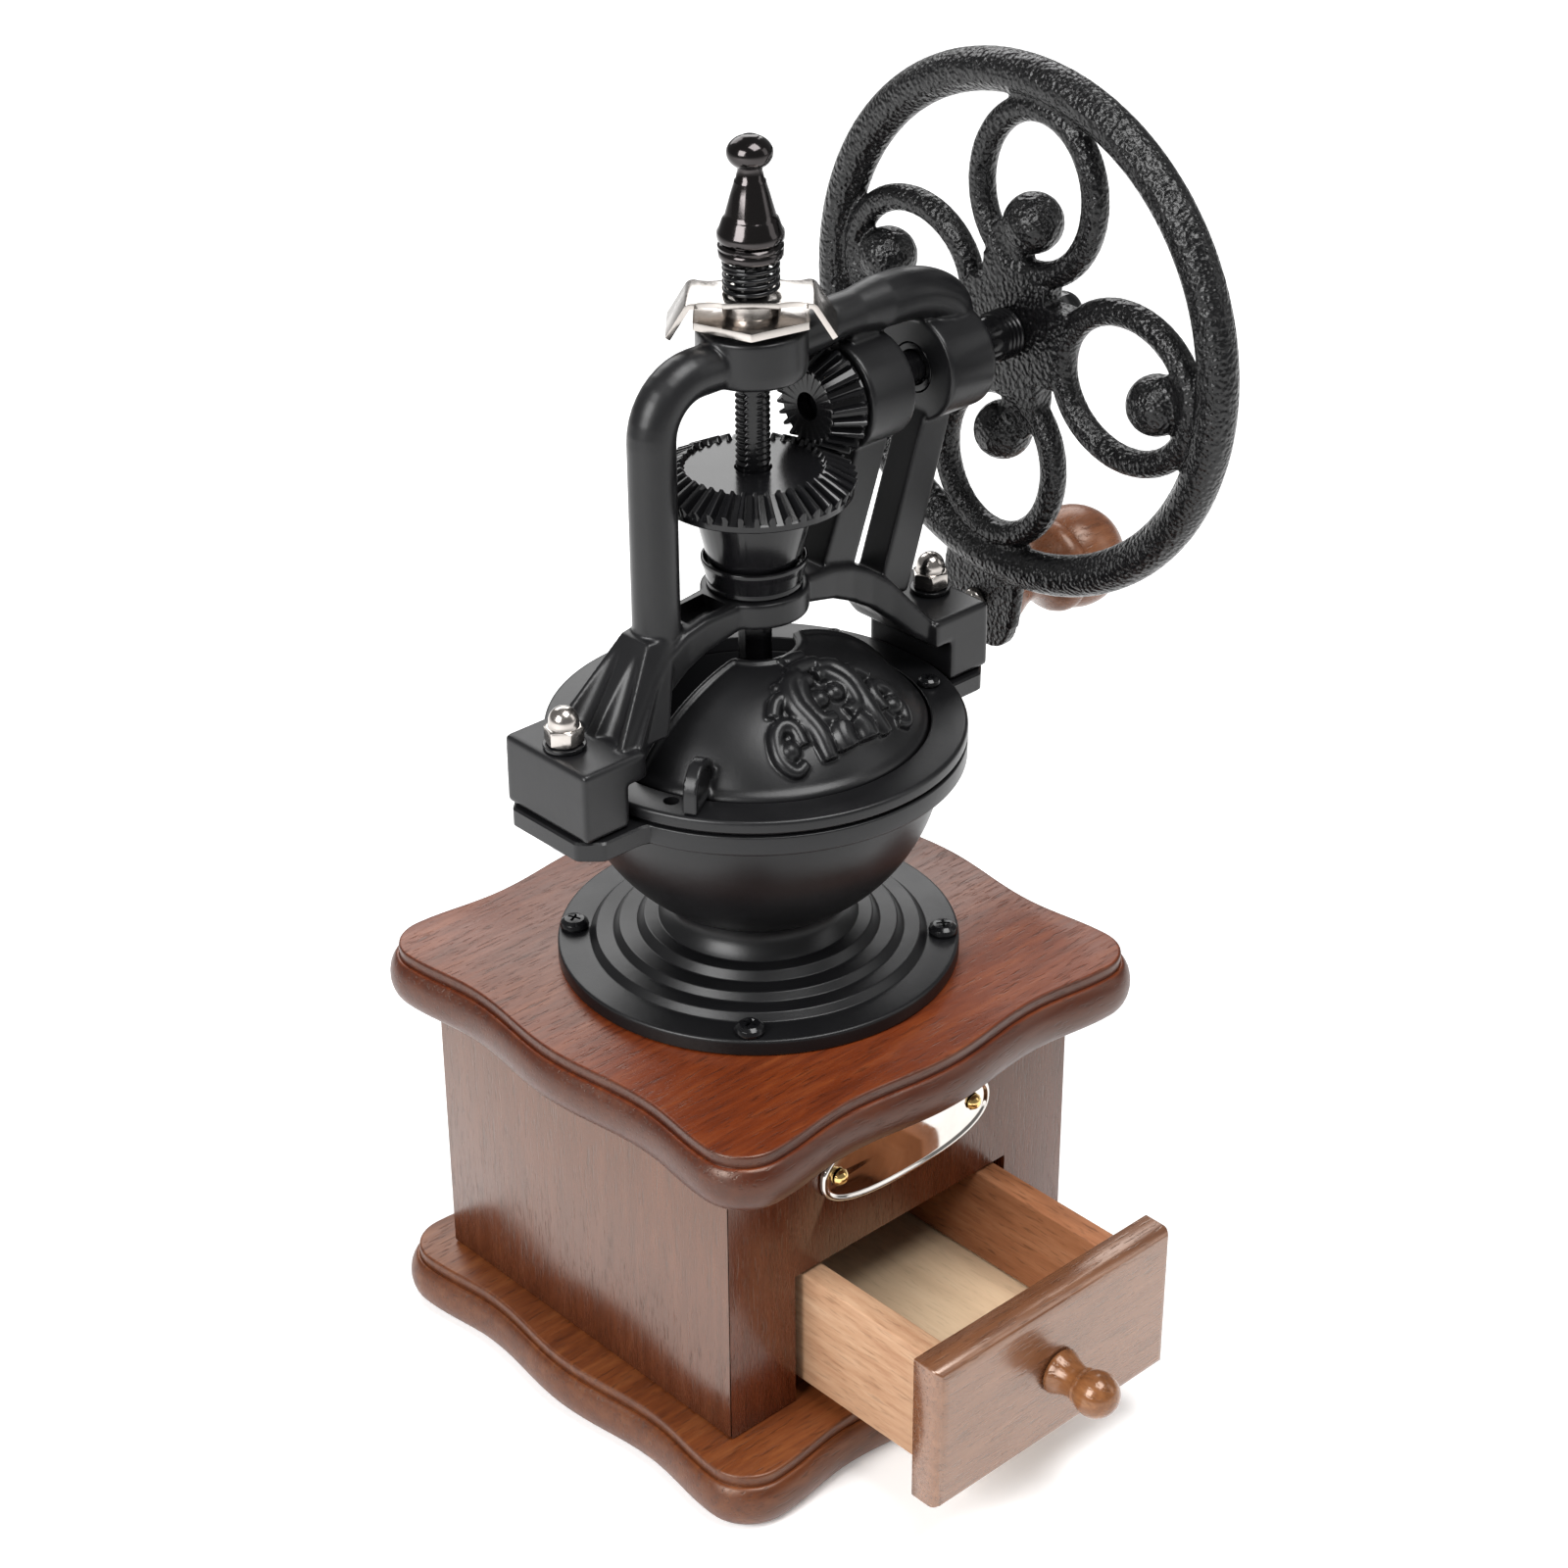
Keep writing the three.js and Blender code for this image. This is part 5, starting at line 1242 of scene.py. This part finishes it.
def crank():
    hub_start = WHEEL_X - HUB_INSIDE
    washer_start = WHEEL_X + HUB_OUTSIDE + GAP
    washer_end = washer_start + 1.3
    bar = rounded([(0, 20.4, 0), (3, 20.4), (3, 25, 0), (CRANK_SHAFT, 25.3, 0), (CRANK_SHAFT, 100),
                   (0, 100, 0)], 0.4)
    rings = [(CRANK_HOLE, 70.0), (5.5, 70.0), (5.7, 70.3), (5.7, 77.6)]
    for k in range(4):
        rings += [(r, x + 1.35 * k) for r, x in ((5.7, 78.0), (6.2, 78.35), (6.2, 78.75), (5.7, 79.1))]
    rings += [(5.6, hub_start - GAP), (CRANK_HOLE, hub_start - GAP)]
    for name, ending, shape in (("crank_shaft", "_turned", lathe(bar, 64)),
                                ("shaft_spacer", "_ringed", lathe(rings, 64)),
                                ("wheel_washer", "_turned",
                                 pipe(CRANK_HOLE, 8.5, washer_start, washer_end))):
        piece(make(name + ending, along_x(shape)), GLOSS_BLACK, "crank", name)
    nut = cut(cap_nut(12, 4.6, 5.2, 10.8), rod(CRANK_HOLE, -1, 4.6))
    nut.name = "wheel_nut_domed"
    placed(nut, washer_end + GAP, 0, CRANK_Z, "Y", 90)
    piece(bevel(nut, 0.15, 2, 30), GLOSS_BLACK, "crank", "wheel_nut")


def crank_knob():
    neck = [(2.6, 3), (9.0, 3), (9.5, 3.5), (9.8, 5), (9.5, 6.6), (8.7, 8.6), (7.5, 11.2), (6.6, 13.8),
            (6.3, 16), (6.6, 18), (7.6, 20), (9.3, 21.9), (10.8, 23.2), (11.9, 24.6), (12.4, 26),
            (12.45, 27.2), (12.2, 28.0), (11.85, 28.35)]
    profile = neck + arc(0, 35, 13.6, -29, 75, 32) + [(3.6, 48.2), (3.6, 44), (2.6, 44)]
    knob = make("crank_knob_turned", on_knob_axle(lathe(profile, 112)))
    piece(knob, CRANK_WOOD, "knob", "crank_knob", angle=55)
    axle = [(0, -4.2), (1.1, -4.1), (2.1, -3.65), (2.8, -2.8), (3.05, -1.9), (3.1, -1.5), (2, -1.5),
            (2, 44.4), (3.1, 44.4), (3.1, 46.4), (2.4, 47.2), (0, 47.4)]
    piece(make("knob_axle_turned", on_knob_axle(lathe(axle, 48))), NICKEL, "crank", "knob_axle", angle=45)


# ---- light, floor and camera


def area_light(name, place, target, size, power):
    data = bpy.data.lights.new(name, "AREA")
    data.shape, data.size, data.size_y, data.energy = "RECTANGLE", *size, power
    obj = bpy.data.objects.new(name, data)
    obj.location = place
    obj.rotation_euler = (Vector(target) - Vector(place)).to_track_quat("-Z", "Y").to_euler()
    bpy.context.scene.collection.objects.link(obj)


def studio():
    world = bpy.data.worlds.new("studio")
    world.use_nodes = True
    world.node_tree.nodes["Background"].inputs["Color"].default_value = (1, 1, 1, 1)
    world.node_tree.nodes["Background"].inputs["Strength"].default_value = 0.24
    bpy.context.scene.world = world
    middle = (0, 0, 0.16)
    area_light("key", (-1.15, -0.1, 0.85), middle, (0.7, 0.8), 22)
    area_light("rear", (0.6, 1.0, 0.95), middle, (1.4, 0.8), 11)
    area_light("side", (0.9, -0.9, 0.7), middle, (0.5, 0.9), 2)
    area_light("above", (0.1, -0.45, 1.35), middle, (0.7, 0.7), 16)
    floor = make("floor", block(-12000, 12000, -12000, 12000, -20, -0.02))
    material, tree, shader, place = new_material("pale_floor", (0.93, 0.93, 0.93), 0.6)
    tree.links.new(ramp(tree, noise_of(tree, place, 3, 2), [(0.3, (0.925,) * 3), (0.7, (0.935,) * 3)]),
                   shader.inputs["Base Color"])
    shader.inputs["Specular IOR Level"].default_value = 0.2
    shader.inputs["Emission Color"].default_value = (1, 1, 1, 1)
    shader.inputs["Emission Strength"].default_value = 0.22
    floor.data.materials.append(material)


def camera():
    """Looks from the left front and from above, as the photograph does."""
    data = bpy.data.cameras.new("camera")
    data.sensor_width, data.lens, data.clip_start, data.clip_end = 36.0, 75.61, 0.05, 50
    obj = bpy.data.objects.new("camera", data)
    ahead = Vector((0.58930, 0.64035, -0.49262)).normalized()
    right = ahead.cross(Vector((0, 0, 1))).normalized()
    up = right.cross(ahead)
    roll = math.radians(-0.384)
    across = right * math.cos(roll) + up * math.sin(roll)
    upward = up * math.cos(roll) - right * math.sin(roll)
    turn = Matrix((across, upward, -ahead)).transposed().to_4x4()
    obj.matrix_world = Matrix.Translation(Vector((-462.23, -511.93, 544.23)) * MM) @ turn
    bpy.context.scene.collection.objects.link(obj)
    bpy.context.scene.camera = obj
    bpy.context.scene.view_settings.view_transform = "Standard"


camera()
plates()
walls()
drawer()
drawer_knob()
name_plate()
hopper()
screws()
frame_fasteners()
lid_ring()
dome_hatch()
frame_yoke()
frame_sleeves()
gears()
shaft()
burrs()
adjuster()
lock_plate()
spring_and_finial()
crank_wheel()
crank()
crank_knob()
studio()
